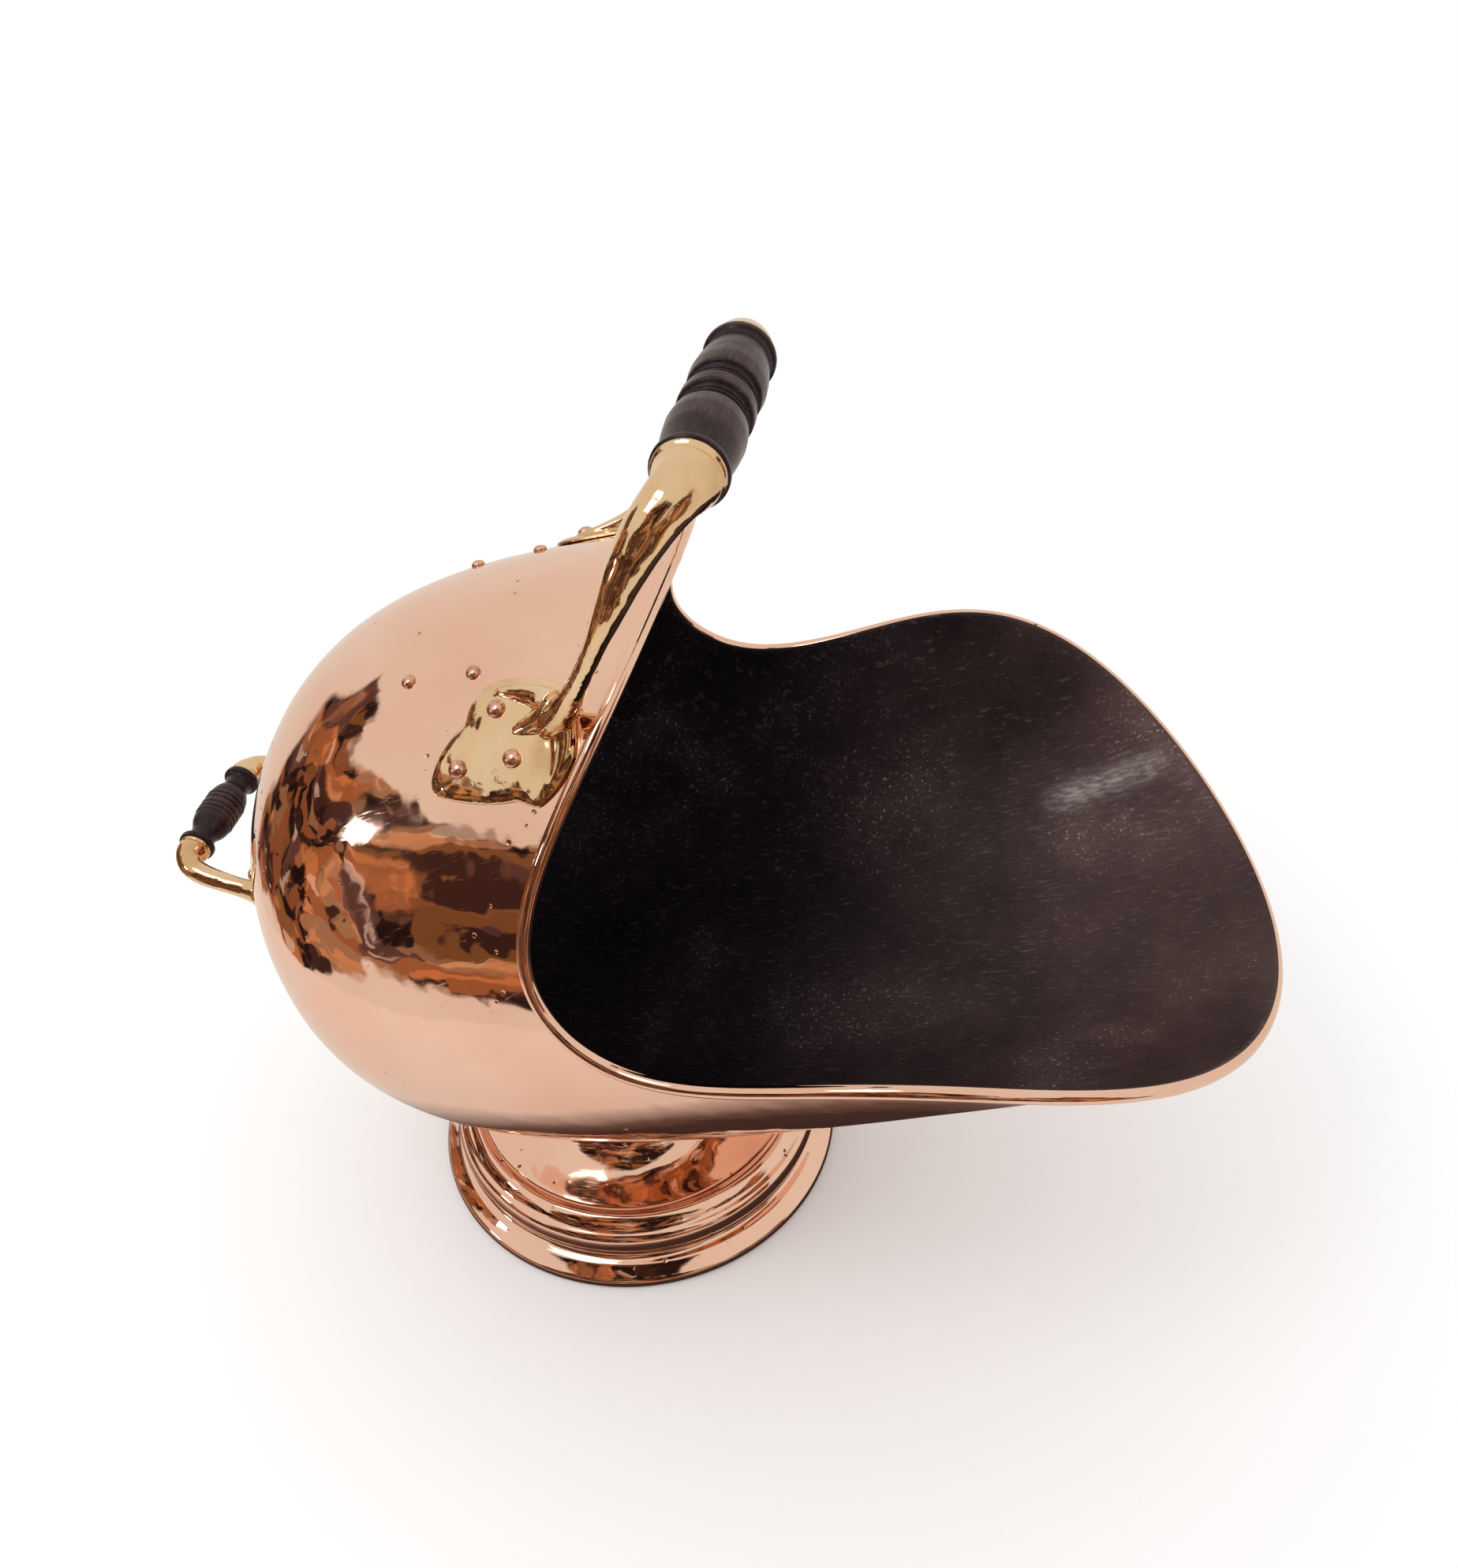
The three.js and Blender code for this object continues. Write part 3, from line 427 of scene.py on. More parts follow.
def painted_sheen_streak(tree, place):
    """A mask for one painted highlight: a pale sheen streak along the inside of the left cheek."""
    heading = (SHEEN_TO - SHEEN_FROM).normalized()
    offset = vectors(tree, "SUBTRACT", 0, place, SHEEN_FROM)
    walked = vectors(tree, "DOT_PRODUCT", "Value", offset, heading)
    nearest = node(tree, "ShaderNodeVectorMath", {0: heading, "Scale": walked}, operation="SCALE").outputs[0]
    aside = vectors(tree, "DISTANCE", "Value", offset, nearest)
    share = maths(tree, "DIVIDE", walked, (SHEEN_TO - SHEEN_FROM).length)
    along = ramp(tree, share, (0, 0.0), (0.25, 1.0), (0.8, 0.8), (1, 0.0))
    return maths(tree, "MULTIPLY", along, ramp(tree, aside, (0.001, 0.7), (0.009, 0.0)))


def blackened_finish():
    """Soot and coal dust in copper: black under the hood, browner towards the lip, flecked bright."""
    material, tree, shader = new_material("blackened_inside")
    place = node(tree, "ShaderNodeTexCoord").outputs["Object"]
    cloud = node(tree, "ShaderNodeTexNoise", {
        "Vector": place, "Scale": 11.0, "Detail": 7.0, "Roughness": 0.62,
    }).outputs["Fac"]
    forward = node(tree, "ShaderNodeSeparateXYZ", {0: place}).outputs["X"]
    to_lip = node(tree, "ShaderNodeMapRange", {"Value": forward, "From Min": 0.02, "From Max": 0.21})
    soot = ((0.008, 0.006, 0.009), (0.020, 0.013, 0.018), (0.054, 0.040, 0.042))
    brown = ((0.036, 0.019, 0.019), (0.074, 0.039, 0.037), (0.135, 0.080, 0.072))
    sooty, browned = (ramp(tree, cloud, *zip((0.32, 0.52, 0.72), colours)) for colours in (soot, brown))
    ground = mix(tree, to_lip.outputs["Result"], sooty, browned)
    scratches = node(tree, "ShaderNodeGroup", {
        "Place": place, "Turn": (0.2, 0.5, 0.35), "Stretch": (1, 5, 1), "Scale": 170.0, "Detail": 5.0,
    }, node_tree=rubbed_scratches).outputs["Scratches"]
    scratched = mix(tree, ramp(tree, scratches, (0.58, 0.0), (0.74, 0.42)), ground, (0.19, 0.135, 0.12))
    # Painted highlight: the pale sheen streak, broken up by the scratches, lightens the blackened inside.
    sheen_breakup = ramp(tree, scratches, (0.35, 0.35), (0.6, 1.0))
    with_painted_sheen = mix(
        tree, maths(tree, "MULTIPLY", painted_sheen_streak(tree, place), sheen_breakup), scratched, (0.44, 0.38, 0.36),
    )
    dust = cloudy(tree, place, 640.0, 2.0)
    dusty = ramp(tree, cloud, (0.48, 0.04), (0.66, 1.0))
    flecks = maths(tree, "MULTIPLY", ramp(tree, dust, (0.62, 0.0), (0.72, 1.0)), dusty)
    tree.links.new(mix(tree, flecks, with_painted_sheen, (0.42, 0.36, 0.32)), shader.inputs["Base Color"])
    tree.links.new(ramp(tree, scratches, (0.3, 0.52), (0.7, 0.34)), shader.inputs["Roughness"])
    bump = node(tree, "ShaderNodeBump", {"Height": scratches, "Strength": 0.4, "Distance": 0.0003})
    tree.links.new(bump.outputs[0], shader.inputs["Normal"])
    shader.inputs["Metallic"].default_value = 0.35
    shader.inputs["Specular IOR Level"].default_value = 0.3
    return material


def crease_shade_finish():
    """Painted shade: copper darkened to dark red in the crease under the roll."""
    material, tree, shader = new_material("painted_crease_shade")
    shader.inputs["Base Color"].default_value = (0.20, 0.06, 0.04, 1)
    shader.inputs["Roughness"].default_value = 0.5
    shader.inputs["Metallic"].default_value = 0.8
    return material


polished_copper = copper_finish()
painted_crease_shade = crease_shade_finish()
blackened_inside = blackened_finish()


def first_ring(bm, points):
    """A closed loop of edges through the points."""
    ring = bmesh.ops.create_circle(bm, radius=1, segments=len(points))["verts"]
    for vertex, point in zip(ring, points):
        vertex.co = point
    return ring


def next_ring(bm, ring, points, finish=0):
    """Extrudes a loop of edges, moves it to the points, and returns it in the same order."""
    edges = [bm.edges.get((ring[i - 1], ring[i])) for i in range(len(ring))]
    made = bmesh.ops.extrude_edge_only(bm, edges=edges)["geom"]
    new = {v for v in made if isinstance(v, bmesh.types.BMVert)}
    for face in (f for f in made if isinstance(f, bmesh.types.BMFace)):
        face.material_index = finish
    grown = [next(e.other_vert(v) for e in v.link_edges if e.other_vert(v) in new) for v in ring]
    for vertex, point in zip(grown, points):
        vertex.co = point
    return grown


def skin(bm, rings, ends=None, finishes=None):
    """A closed skin through rings of points, drawn together at two end points or joined end to end."""
    if ends:
        rings = [[ends[0]] * len(rings[0]), *rings, [ends[1]] * len(rings[0])]
        finishes = finishes and [finishes[0], *finishes, finishes[-1]]
    loops = [first_ring(bm, rings[0])]
    for points, finish in zip(rings[1:], (finishes or [0] * len(rings))[1:]):
        loops.append(next_ring(bm, loops[-1], points, finish))
    if ends:
        bmesh.ops.pointmerge(bm, verts=loops[0], merge_co=Vector(ends[0]))
        bmesh.ops.pointmerge(bm, verts=loops[-1], merge_co=Vector(ends[1]))
    else:
        open_loops = (loops[0], loops[-1])
        seams = [bm.edges.get((loop[i - 1], loop[i])) for loop in open_loops for i in range(len(loop))]
        bmesh.ops.bridge_loops(bm, edges=seams)


def piece(name, bm, finishes, slot, *stands_for, body=SCUTTLE):
    """Turns a finished bmesh, in millimetres from the foot's axis, into a piece that rides on its body."""
    bmesh.ops.recalc_face_normals(bm, faces=bm.faces)
    bmesh.ops.transform(bm, matrix=TO_FRAME, verts=bm.verts)
    for face in bm.faces:
        face.smooth = True
    mesh = bpy.data.meshes.new(name)
    bm.to_mesh(mesh)
    bm.free()
    for finish in finishes:
        mesh.materials.append(finish)
    made = bpy.data.objects.new(name, mesh)
    bpy.context.scene.collection.objects.link(made)
    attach(made, body)
    if stands_for:
        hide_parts(*stands_for)
    return made


BODY_RINGS = 90
ROLL_INSIDE = 1.5 + AIR
ROLL_OUTSIDE = ROLL_INSIDE + SHEET
ROLL_START, ROLL_END = -90, 205
# Past this angle the roll's underside takes the painted shade of the crease.
CREASE_FROM = 150
COPPER_FACE, BLACK_FACE, CREASE_SHADE_FACE = range(3)

ahead = np.roll(rim, -1, 0) - np.roll(rim, 1, 0)
ahead /= np.linalg.norm(ahead, axis=1, keepdims=True)
rim_out = outward(rim)
rim_out -= ahead * np.sum(rim_out * ahead, 1, keepdims=True)
rim_out /= np.linalg.norm(rim_out, axis=1, keepdims=True)
rim_off = np.cross(ahead, rim_out)


def meridian_ring(share):
    """One ring of the helmet's outer face: share 0 is the pole at the back of the belly, share 1 the rim."""
    towards = rim - HEART
    towards /= np.linalg.norm(towards, axis=1, keepdims=True)
    span = np.arccos(towards @ POLE)[:, None]
    direction = (POLE * np.sin((1 - share) * span) + towards * np.sin(share * span)) / np.sin(span)
    return on_body(HEART, direction)


def roll_ring(radius, degrees):
    angle = math.radians(degrees)
    return rim + rim_out * (ROLL_INSIDE + radius * math.sin(angle)) + rim_off * radius * math.cos(angle)


face = [meridian_ring(r / BODY_RINGS) for r in range(1, BODY_RINGS)]
tip = on_body(HEART, POLE[None])
outer = [lifted(points, 0) for points in face]
inner = [lifted(points, -SHEET) for points in reversed(face)]
curl = np.linspace(ROLL_START, ROLL_END, 15)
rings = (
    outer
    + [roll_ring(ROLL_INSIDE, angle) for angle in curl]
    + [roll_ring(ROLL_OUTSIDE, angle) for angle in reversed(curl)]
    + inner
)
# The roll's inner face, and its underside past CREASE_FROM, take the painted crease shade.
finishes = [COPPER_FACE] * len(outer) + [CREASE_SHADE_FACE] * len(curl)
finishes += [CREASE_SHADE_FACE if angle > CREASE_FROM else COPPER_FACE for angle in curl[:1:-1]]
finishes += [BLACK_FACE] * (len(inner) + 2)
bm = bmesh.new()
skin(bm, rings, (lifted(tip, 0)[0], lifted(tip, -SHEET)[0]), finishes)
piece("helmet", bm, [polished_copper, blackened_inside, painted_crease_shade], "copper", "body_shell")

# ---------------------------------------------------------------- foot
# Spun copper on a lathe: an edge rolled round a wire, a step, a torus, a ring and a waisted neck. Its top is
# dressed to the belly and soldered there.
FOOT_RADIUS = 106
FOOT_FLAT = 0.25
FOOT_WIRE = 2.2
FOOT_ROLL = (FOOT_RADIUS - FOOT_WIRE - AIR - SHEET, FOOT_WIRE + AIR + SHEET - FOOT_FLAT)
FOOT_SIDES = 200
NECK_RADIUS, NECK_FLANGE = 55, 11


def arc(centre, radius, start, end, steps):
    angles = np.radians(np.linspace(start, end, steps + 1))
    return [(centre[0] + radius * math.cos(a), centre[1] + radius * math.sin(a)) for a in angles]


def flat_bezier(*points, steps=8):
    return [tuple(p) for p in bezier(*points, steps)]


def inset(outline, depth):
    """The same outline, moved to its left by a depth."""
    moved = []
    for i, (r, z) in enumerate(outline):
        (r0, z0), (r1, z1) = outline[max(i - 1, 0)], outline[min(i + 1, len(outline) - 1)]
        length = math.hypot(r1 - r0, z1 - z0)
        moved.append((r - depth * (z1 - z0) / length, z + depth * (r1 - r0) / length))
    return moved


flat = math.degrees(math.acos(FOOT_ROLL[1] / (FOOT_WIRE + AIR + SHEET)))
side = [
    (99.4, 10.0), (98.9, 10.5), (98.2, 10.8), (97.2, 11.2),
    *flat_bezier((96.3, 11.6), (94.6, 12.8), (94.0, 14.6), (94.8, 16.4)),
    *flat_bezier((94.8, 16.4), (96.6, 17.2), (97.4, 19.4), (97.2, 22))[1:],
    *flat_bezier((97.2, 22), (97.1, 25.4), (95.6, 28.3), (92.6, 29.3))[1:],
    (91.6, 30.6), (90.0, 32.6), (88.0, 34.4), (86.6, 35.1), (85.4, 35.1), (84.3, 34.7),
    *flat_bezier((83.4, 34.6), (76.8, 38), (57, 45), (NECK_RADIUS, 58), steps=14),
]
outline = [
    *arc(FOOT_ROLL, FOOT_WIRE + AIR + SHEET, -215, -90 - flat, 8),
    *arc(FOOT_ROLL, FOOT_WIRE + AIR + SHEET, -90 + flat, 60, 12),
    *side,
    (NECK_RADIUS + 0.6, ("under belly", SHEET + 1.6)),
    (NECK_RADIUS + 1.8, ("under belly", SHEET + 0.4)),
    (NECK_RADIUS + 3.4, ("under belly", SHEET)),
    (NECK_RADIUS + NECK_FLANGE, ("under belly", SHEET)),
    (NECK_RADIUS + NECK_FLANGE, ("under belly", 0)),
    (NECK_RADIUS + 2, ("under belly", 0)),
    *reversed(inset(side, SHEET)),
    *arc(FOOT_ROLL, FOOT_WIRE + AIR, 60, -215, 16),
]
turn = np.linspace(0, 2 * math.pi, FOOT_SIDES, endpoint=False)
rings = []
for radius, z in outline:
    ring = np.column_stack([radius * np.cos(turn), radius * np.sin(turn), np.zeros(FOOT_SIDES)])
    if isinstance(z, tuple):
        above = ring + np.stack([ring[:, 0] * 0, ring[:, 0] * 0, beam(ring[:, 0])], 1)
        z = on_body(above, np.array((0, 0, -1.0)) + 0 * ring)[:, 2] - AIR - z[1]
    ring[:, 2] = z
    rings.append(ring)
bm = bmesh.new()
skin(bm, rings)
piece("pedestal_foot", bm, [polished_copper], "copper", "foot")

# ---------------------------------------------------------------- wires in the edges, and the grips' rods
# Drawn iron, dull and a little rusty, and seen only where a roll stands open. The solids' own meshes stay, and
# only their finish changes.

def iron_finish():
    material, tree, shader = new_material("drawn_iron")
    place = node(tree, "ShaderNodeTexCoord").outputs["Object"]
    cloud = cloudy(tree, place, 70.0, 5.0)
    tree.links.new(
        ramp(tree, cloud, (0.35, (0.10, 0.09, 0.085)), (0.6, (0.22, 0.20, 0.19)), (0.75, (0.20, 0.09, 0.05))),
        shader.inputs["Base Color"],
    )
    tree.links.new(ramp(tree, cloud, (0.3, 0.4), (0.7, 0.7)), shader.inputs["Roughness"])
    shader.inputs["Metallic"].default_value = 1.0
    return material


drawn_iron = iron_finish()
for name in ("rim_wire", "foot_wire", "handle_rod", "rear_rod"):
    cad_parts[name].material_slots[0].material = drawn_iron


# ---------------------------------------------------------------- main handle's arms
# Cast brass: a thin leaf riveted to the hood grows through three roots into a bar that climbs over the rim,
# and the bar opens into a bell whose rimmed mouth holds the grip.

class Seat:
    """A place on the helmet with its own directions: out of the sheet, along and across."""

    def __init__(self, point, towards):
        self.point = np.array(point, float)
        self.out = outward(self.point)
        along = np.array(towards, float) - self.out * np.dot(towards, self.out)
        self.along = along / np.linalg.norm(along)
        self.across = np.cross(self.along, self.out)

    def at(self, a, b, above=0.0):
        """A point in the seat's plane."""
        return self.point + self.along * a + self.across * b + self.out * above

    def on_sheet(self, outline, height):
        """The outline laid on the helmet, at a height over its outer face."""
        start = np.array([self.at(a, b, -SEAT_REACH) for a, b in outline])
        return lifted(on_body(start, self.out + 0 * start, 2 * SEAT_REACH), height)


SEAT_REACH = 16
RIGHT, LEFT = Matrix.Identity(4), Matrix.Scale(-1, 4, (0, 1, 0))


def hood_point(x, degrees):
    angle = math.radians(degrees)
    return x, -float(half_width(x)) * math.sin(angle), float(beam(x) + (crown(x) - beam(x)) * math.cos(angle))


def off_sheet(points, height):
    """Points that sink into the helmet are lifted to a height over it."""
    towards = points - HEART
    foot_points = on_body(HEART, towards / np.linalg.norm(towards, axis=1, keepdims=True))
    out = outward(foot_points)
    over = np.sum((points - foot_points) * out, 1, keepdims=True) - dents(foot_points)
    return np.where(over < height, points + out * (height - over), points)


def leaf(bm, seat, outline, layers):
    """A cast leaf on the helmet: its outline is drawn in towards its middle as it rises through layers."""
    lowest, highest = layers[0][1], layers[-1][1]
    under = [(size, lowest) for size in (0.3, 0.6, 0.85)]
    rings = [
        seat.on_sheet([(a * size, b * size) for a, b in outline], height) for size, height in under + layers
    ]
    skin(bm, rings, (seat.on_sheet([(0, 0)], lowest)[0], seat.on_sheet([(0, 0)], highest)[0]))


def bar(bm, path, section, bore=None):
    """A bar along a path of points. The section gives its half width and half height at each of them."""
    walked = np.concatenate([[0], np.cumsum(np.linalg.norm(np.diff(path, axis=0), axis=1))])
    ahead = np.gradient(path, walked, axis=0)
    ahead /= np.linalg.norm(ahead, axis=1, keepdims=True)
    up = section.up - ahead[0] * np.dot(section.up, ahead[0])
    turn = np.linspace(0, 2 * math.pi, 48, endpoint=False)[:, None]
    rings = []
    for point, forward, distance in zip(path, ahead, walked):
        up = up - forward * np.dot(up, forward)
        up /= np.linalg.norm(up)
        wide, high = section(distance, walked[-1] - distance)
        rings.append(point + up * high * np.cos(turn) + np.cross(forward, up) * wide * np.sin(turn))
    if bore:
        radius, depth = bore
        side = np.cross(ahead[-1], up)
        mouth = path[-1] + radius * (up * np.cos(turn) + side * np.sin(turn))
        rings += [mouth, mouth - ahead[-1] * depth]
        end = path[-1] - ahead[-1] * depth
    else:
        end = path[-1]
    skin(bm, rings, (path[0], end))


def cast_in_one(bm, grain, soften):
    """Fuses overlapping closed skins into one casting with soft inner corners, resting on the helmet."""
    rough = bpy.data.meshes.new("casting")
    bm.to_mesh(rough)
    bm.free()
    blank = bpy.data.objects.new("casting", rough)
    bpy.context.scene.collection.objects.link(blank)
    remesh = blank.modifiers.new("fuse", "REMESH")
    remesh.mode = "VOXEL"
    remesh.voxel_size = grain
    smooth = blank.modifiers.new("soften", "SMOOTH")
    smooth.iterations = soften
    smooth.factor = 0.5
    fused = bpy.data.meshes.new_from_object(blank.evaluated_get(bpy.context.evaluated_depsgraph_get()))
    bpy.data.objects.remove(blank)
    made = bmesh.new()
    made.from_mesh(fused)
    places = np.array([v.co for v in made.verts])
    for vertex, place in zip(made.verts, off_sheet(places, AIR)):
        vertex.co = place
    return made


def pair(name, bm, finish, slot, number=""):
    """The right-hand piece and its mirror image."""
    for hand, matrix in (("right", RIGHT), ("left", LEFT)):
        copy = bm.copy()
        bmesh.ops.transform(copy, matrix=matrix, verts=copy.verts)
        piece(f"{name}_{hand}{number}_dressed", copy, [finish], slot, f"{name}_{hand}{number}")
    bm.free()


GRIP_LENGTH = 92
GRIP_AXIS = np.array((HOOD_X + 19.8, 0, float(crown(HOOD_X)) + 64.6))
ROD_BORE = 3.3
BELL_RADIUS = 13.7
PALM = Seat(hood_point(-5.3, 34.1), (1, 0, 0))
PALM_EDGE, PALM_MIDDLE = 1.6, 3.8
BELL = (
    (0, BELL_RADIUS), (2, BELL_RADIUS), (4, 12.7), (8, 11.4), (13, 10.4), (20, 9.6), (30, 8.9), (42, 7.7),
    (51, 6.5), (62, 5.3), (72, 4.2), (83, 3.8), (94, 3.9), (104, 4.6), (114, 5.8), (122, 6.6), (130, 6.6),
)


def brass_finish():
    material, tree, shader = new_material("cast_brass")
    place = node(tree, "ShaderNodeTexCoord").outputs["Object"]
    cloud = cloudy(tree, place, 30.0, 5.0)
    tree.links.new(
        ramp(tree, cloud, (0.32, (0.66, 0.42, 0.21)), (0.5, (0.85, 0.60, 0.36)), (0.7, (0.91, 0.69, 0.46))),
        shader.inputs["Base Color"],
    )
    tree.links.new(ramp(tree, cloud, (0.35, 0.13), (0.65, 0.04)), shader.inputs["Roughness"])
    cast = cloudy(tree, place, 420.0, 3.0)
    wavy = node(tree, "ShaderNodeGroup", {
        "Place": place, "Scale": 85.0, "Depth": 0.0011,
    }, node_tree=uneven_surface).outputs["Normal"]
    bump = node(tree, "ShaderNodeBump", {
        "Height": cast, "Strength": 0.12, "Distance": 0.0004, "Normal": wavy,
    })
    tree.links.new(bump.outputs[0], shader.inputs["Normal"])
    shader.inputs["Metallic"].default_value = 1.0
    return material


cast_brass = brass_finish()


def palm_outline():
    corners = (
        ((-32, 15), (-31, 4), (-25, -3), (-20, -8.5)),
        ((-20, -8.5), (-21, -19), (-14, -27), (-3, -27)),
        ((-3, -27), (6, -27.5), (14, -27.5), (19, -24)),
        ((19, -24), (27, -18), (30, -7), (29.5, 3)),
        ((29.5, 3), (28, 11), (22, 19), (16, 22.5)),
        ((16, 22.5), (12, 22), (9, 20.5), (6, 20.5)),
        ((6, 20.5), (-6, 23.5), (-22, 22.5), (-29, 20)),
    )
    return [tuple(p) for corner in corners for p in bezier(*corner, 14)[:-1]] + [(-29, 20), (-31.2, 17.8)]


class ArmSection:
    """The arm's round section widens from its thin waist into the bell, whose mouth has a flange."""

    up = PALM.out

    def __call__(self, walked, left):
        radius = float(np.interp(left, *zip(*BELL)))
        if 2.0 < left < 3.8:
            radius -= 0.9
        return radius, radius


class RootSection:
    """A tapering root, by which the arm spreads into its palm."""

    up = PALM.out

    def __call__(self, walked, left):
        radius = 1.3 + 3.4 * left / (walked + left)
        return radius * 1.3, radius * 0.8


bm = bmesh.new()
leaf(bm, PALM, palm_outline(), [
    (1, AIR), (1, AIR + 0.9), (0.985, AIR + 1.35), (0.955, AIR + PALM_EDGE), (0.88, AIR + 2.2),
    (0.75, AIR + 2.75), (0.6, AIR + 3.2), (0.4, AIR + 3.6), (0.2, AIR + PALM_MIDDLE),
])
mouth = GRIP_AXIS + (0, -GRIP_LENGTH / 2, 0)
elbow = mouth + (0, -4, 0)
shoulder = mouth + (-19.5, -32.2, -27.5)
rise = np.array((10.1, 8.3, 23.3))
root = PALM.at(17, -9, 0.5)
path = np.vstack([
    bezier(root, root + (9.7, -3.7, 10.1), shoulder - rise, shoulder, 70)[:-1],
    bezier(shoulder, shoulder + rise * 1.1, elbow + (0, -10, 0), elbow, 60)[:-1],
    bezier(elbow, elbow + (0, 1.3, 0), elbow + (0, 2.6, 0), mouth, 12),
])
for root_line in (
    (PALM.at(22, -15, 8), PALM.at(24, -9, 3.5), PALM.at(27, 0, 2), PALM.at(21, 14, 1)),
    (PALM.at(21, -15, 9), PALM.at(14, -19, 4), PALM.at(4, -22, 2), PALM.at(-8, -21, 1)),
    (PALM.at(20, -13, 7), PALM.at(14, -10, 4), PALM.at(6, -6, 3), PALM.at(0, -4, 2)),
):
    bar(bm, bezier(*root_line, 24), RootSection())
bar(bm, path, ArmSection(), bore=(ROD_BORE, 9))
arm = cast_in_one(bm, 0.5, 10)
arm_surface = BVHTree.FromBMesh(arm)
pair("arm", arm, cast_brass, "brass")

# ---------------------------------------------------------------- doubling plates inside the hood
# A leaf of copper behind each palm spreads the handle's pull over five rivets. It is as black as the hood.
DOUBLER = 1.2
UNDER_SHEET = -SHEET - AIR


def doubler_outline():
    corners = (
        ((-61, -27), (-56, -36), (-36, -42), (-22, -40)),
        ((-22, -40), (-6, -36), (10, -14), (14, 4)),
        ((14, 4), (16, 16), (-8, 20), (-24, 19)),
        ((-24, 19), (-34, 17), (-60, -12), (-61, -27)),
    )
    return [tuple(p) for corner in corners for p in bezier(*corner, 20)[:-1]]


spread = (0.15, 0.3, 0.45, 0.6, 0.75, 0.9, 0.985)
heights = [(size, UNDER_SHEET) for size in spread]
heights += [(1, UNDER_SHEET - 0.25), (1, UNDER_SHEET - DOUBLER + 0.25)]
heights += [(size, UNDER_SHEET - DOUBLER) for size in reversed(spread)]
middle = np.mean(doubler_outline(), axis=0)
bm = bmesh.new()
skin(bm, [
    PALM.on_sheet([middle + (np.array(p) - middle) * size for p in doubler_outline()], height)
    for size, height in heights
], (PALM.on_sheet([middle], UNDER_SHEET)[0], PALM.on_sheet([middle], UNDER_SHEET - DOUBLER)[0]))
pair("doubler", bm, blackened_inside, "copper")

# ---------------------------------------------------------------- rivets
# Copper, closed hot through palm, hood and doubling plate. Their heads are domed and a little bruised.
PALM_RIVETS = ((-18.6, 9.8), (4.9, 5.0), (-5.9, -13.6))
PALM_RIVET_HEAD, SMALL_RIVET_HEAD = 3.7, 3.0
HOOD_RIVET_XS, HOOD_RIVET_ANGLE = (-56, -27), 20.5


def turned(bm, outline, sides, origin, axis):
    """A solid turned round an axis, from (radius, height) points that end on it or close on themselves."""
    to_axis = np.array(Vector((0, 0, 1)).rotation_difference(Vector(axis)).to_matrix())
    turn = np.linspace(0, 2 * math.pi, sides, endpoint=False)

    def ring(radius, height):
        flat = np.column_stack([radius * np.cos(turn), radius * np.sin(turn), np.full(sides, float(height))])
        return origin + flat @ to_axis.T

    if outline[0][0] > 0:
        skin(bm, [ring(*p) for p in outline])
    else:
        ends = (origin + np.array(axis) * outline[0][1], origin + np.array(axis) * outline[-1][1])
        skin(bm, [ring(*p) for p in outline[1:-1]], ends)


def rivet(name, number, point, head, depth, surface=None):
    """A rivet square to the sheet, from under a depth of plates to a head that sits on what the ray finds."""
    axis = outward(point)
    top = float(dents(point[None])[0, 0])
    if surface:
        side = np.cross(axis, (0, 1, 0))
        side /= np.linalg.norm(side)
        for turn in np.linspace(0, 2 * math.pi, 12, endpoint=False):
            reach = 0.8 * head * (side * math.cos(turn) + np.cross(axis, side) * math.sin(turn))
            hit = surface.ray_cast(Vector(point + reach + axis * 14), Vector(-axis))[0]
            if hit:
                top = max(top, float(np.dot(np.array(hit) - point, axis)))
    shank, tail = head * 0.58, head * 0.85
    slopes = np.radians(np.linspace(86, 0, 12))
    dome = [(head * math.cos(a), top + 0.25 + 0.72 * head * math.sin(a)) for a in slopes]
    outline = [
        (0, dome[0][1]), *dome, (head * 0.97, top), (shank, top - 0.1),
        (shank, -depth), (tail, -depth), (tail * 0.8, -depth - 0.6), (0, -depth - tail * 0.45),
    ]
    bm = bmesh.new()
    turned(bm, outline, 40, point, axis)
    pair(name, bm, riveted_copper, "copper", number)


def riveted_finish():
    material, tree, shader = new_material("riveted_copper")
    place = node(tree, "ShaderNodeTexCoord").outputs["Object"]
    bruise = cloudy(tree, place, 260.0, 3.0)
    tree.links.new(
        ramp(tree, bruise, (0.3, (0.55, 0.27, 0.18)), (0.6, (0.90, 0.55, 0.42))), shader.inputs["Base Color"],
    )
    tree.links.new(ramp(tree, bruise, (0.3, 0.3), (0.65, 0.14)), shader.inputs["Roughness"])
    bump = node(tree, "ShaderNodeBump", {"Height": bruise, "Strength": 0.35, "Distance": 0.0005})
    tree.links.new(bump.outputs[0], shader.inputs["Normal"])
    shader.inputs["Metallic"].default_value = 1.0
    return material


riveted_copper = riveted_finish()
through_doubler = SHEET + AIR + DOUBLER + AIR
for number, place in enumerate(PALM_RIVETS, 1):
    point = on_body(PALM.at(*place, -SEAT_REACH)[None], PALM.out[None], 2 * SEAT_REACH)[0]
    rivet("palm_rivet", f"_{number}", point, PALM_RIVET_HEAD, through_doubler, arm_surface)
for number, x in enumerate(HOOD_RIVET_XS, 1):
    point = np.array(hood_point(x, HOOD_RIVET_ANGLE))
    rivet("hood_rivet", f"_{number}", point, SMALL_RIVET_HEAD, through_doubler)

# ---------------------------------------------------------------- turned grips
# Fruitwood turned between centres, stained black and polished by hands, worn brown where it stands proudest.
GRIP_RADIUS = 14.7


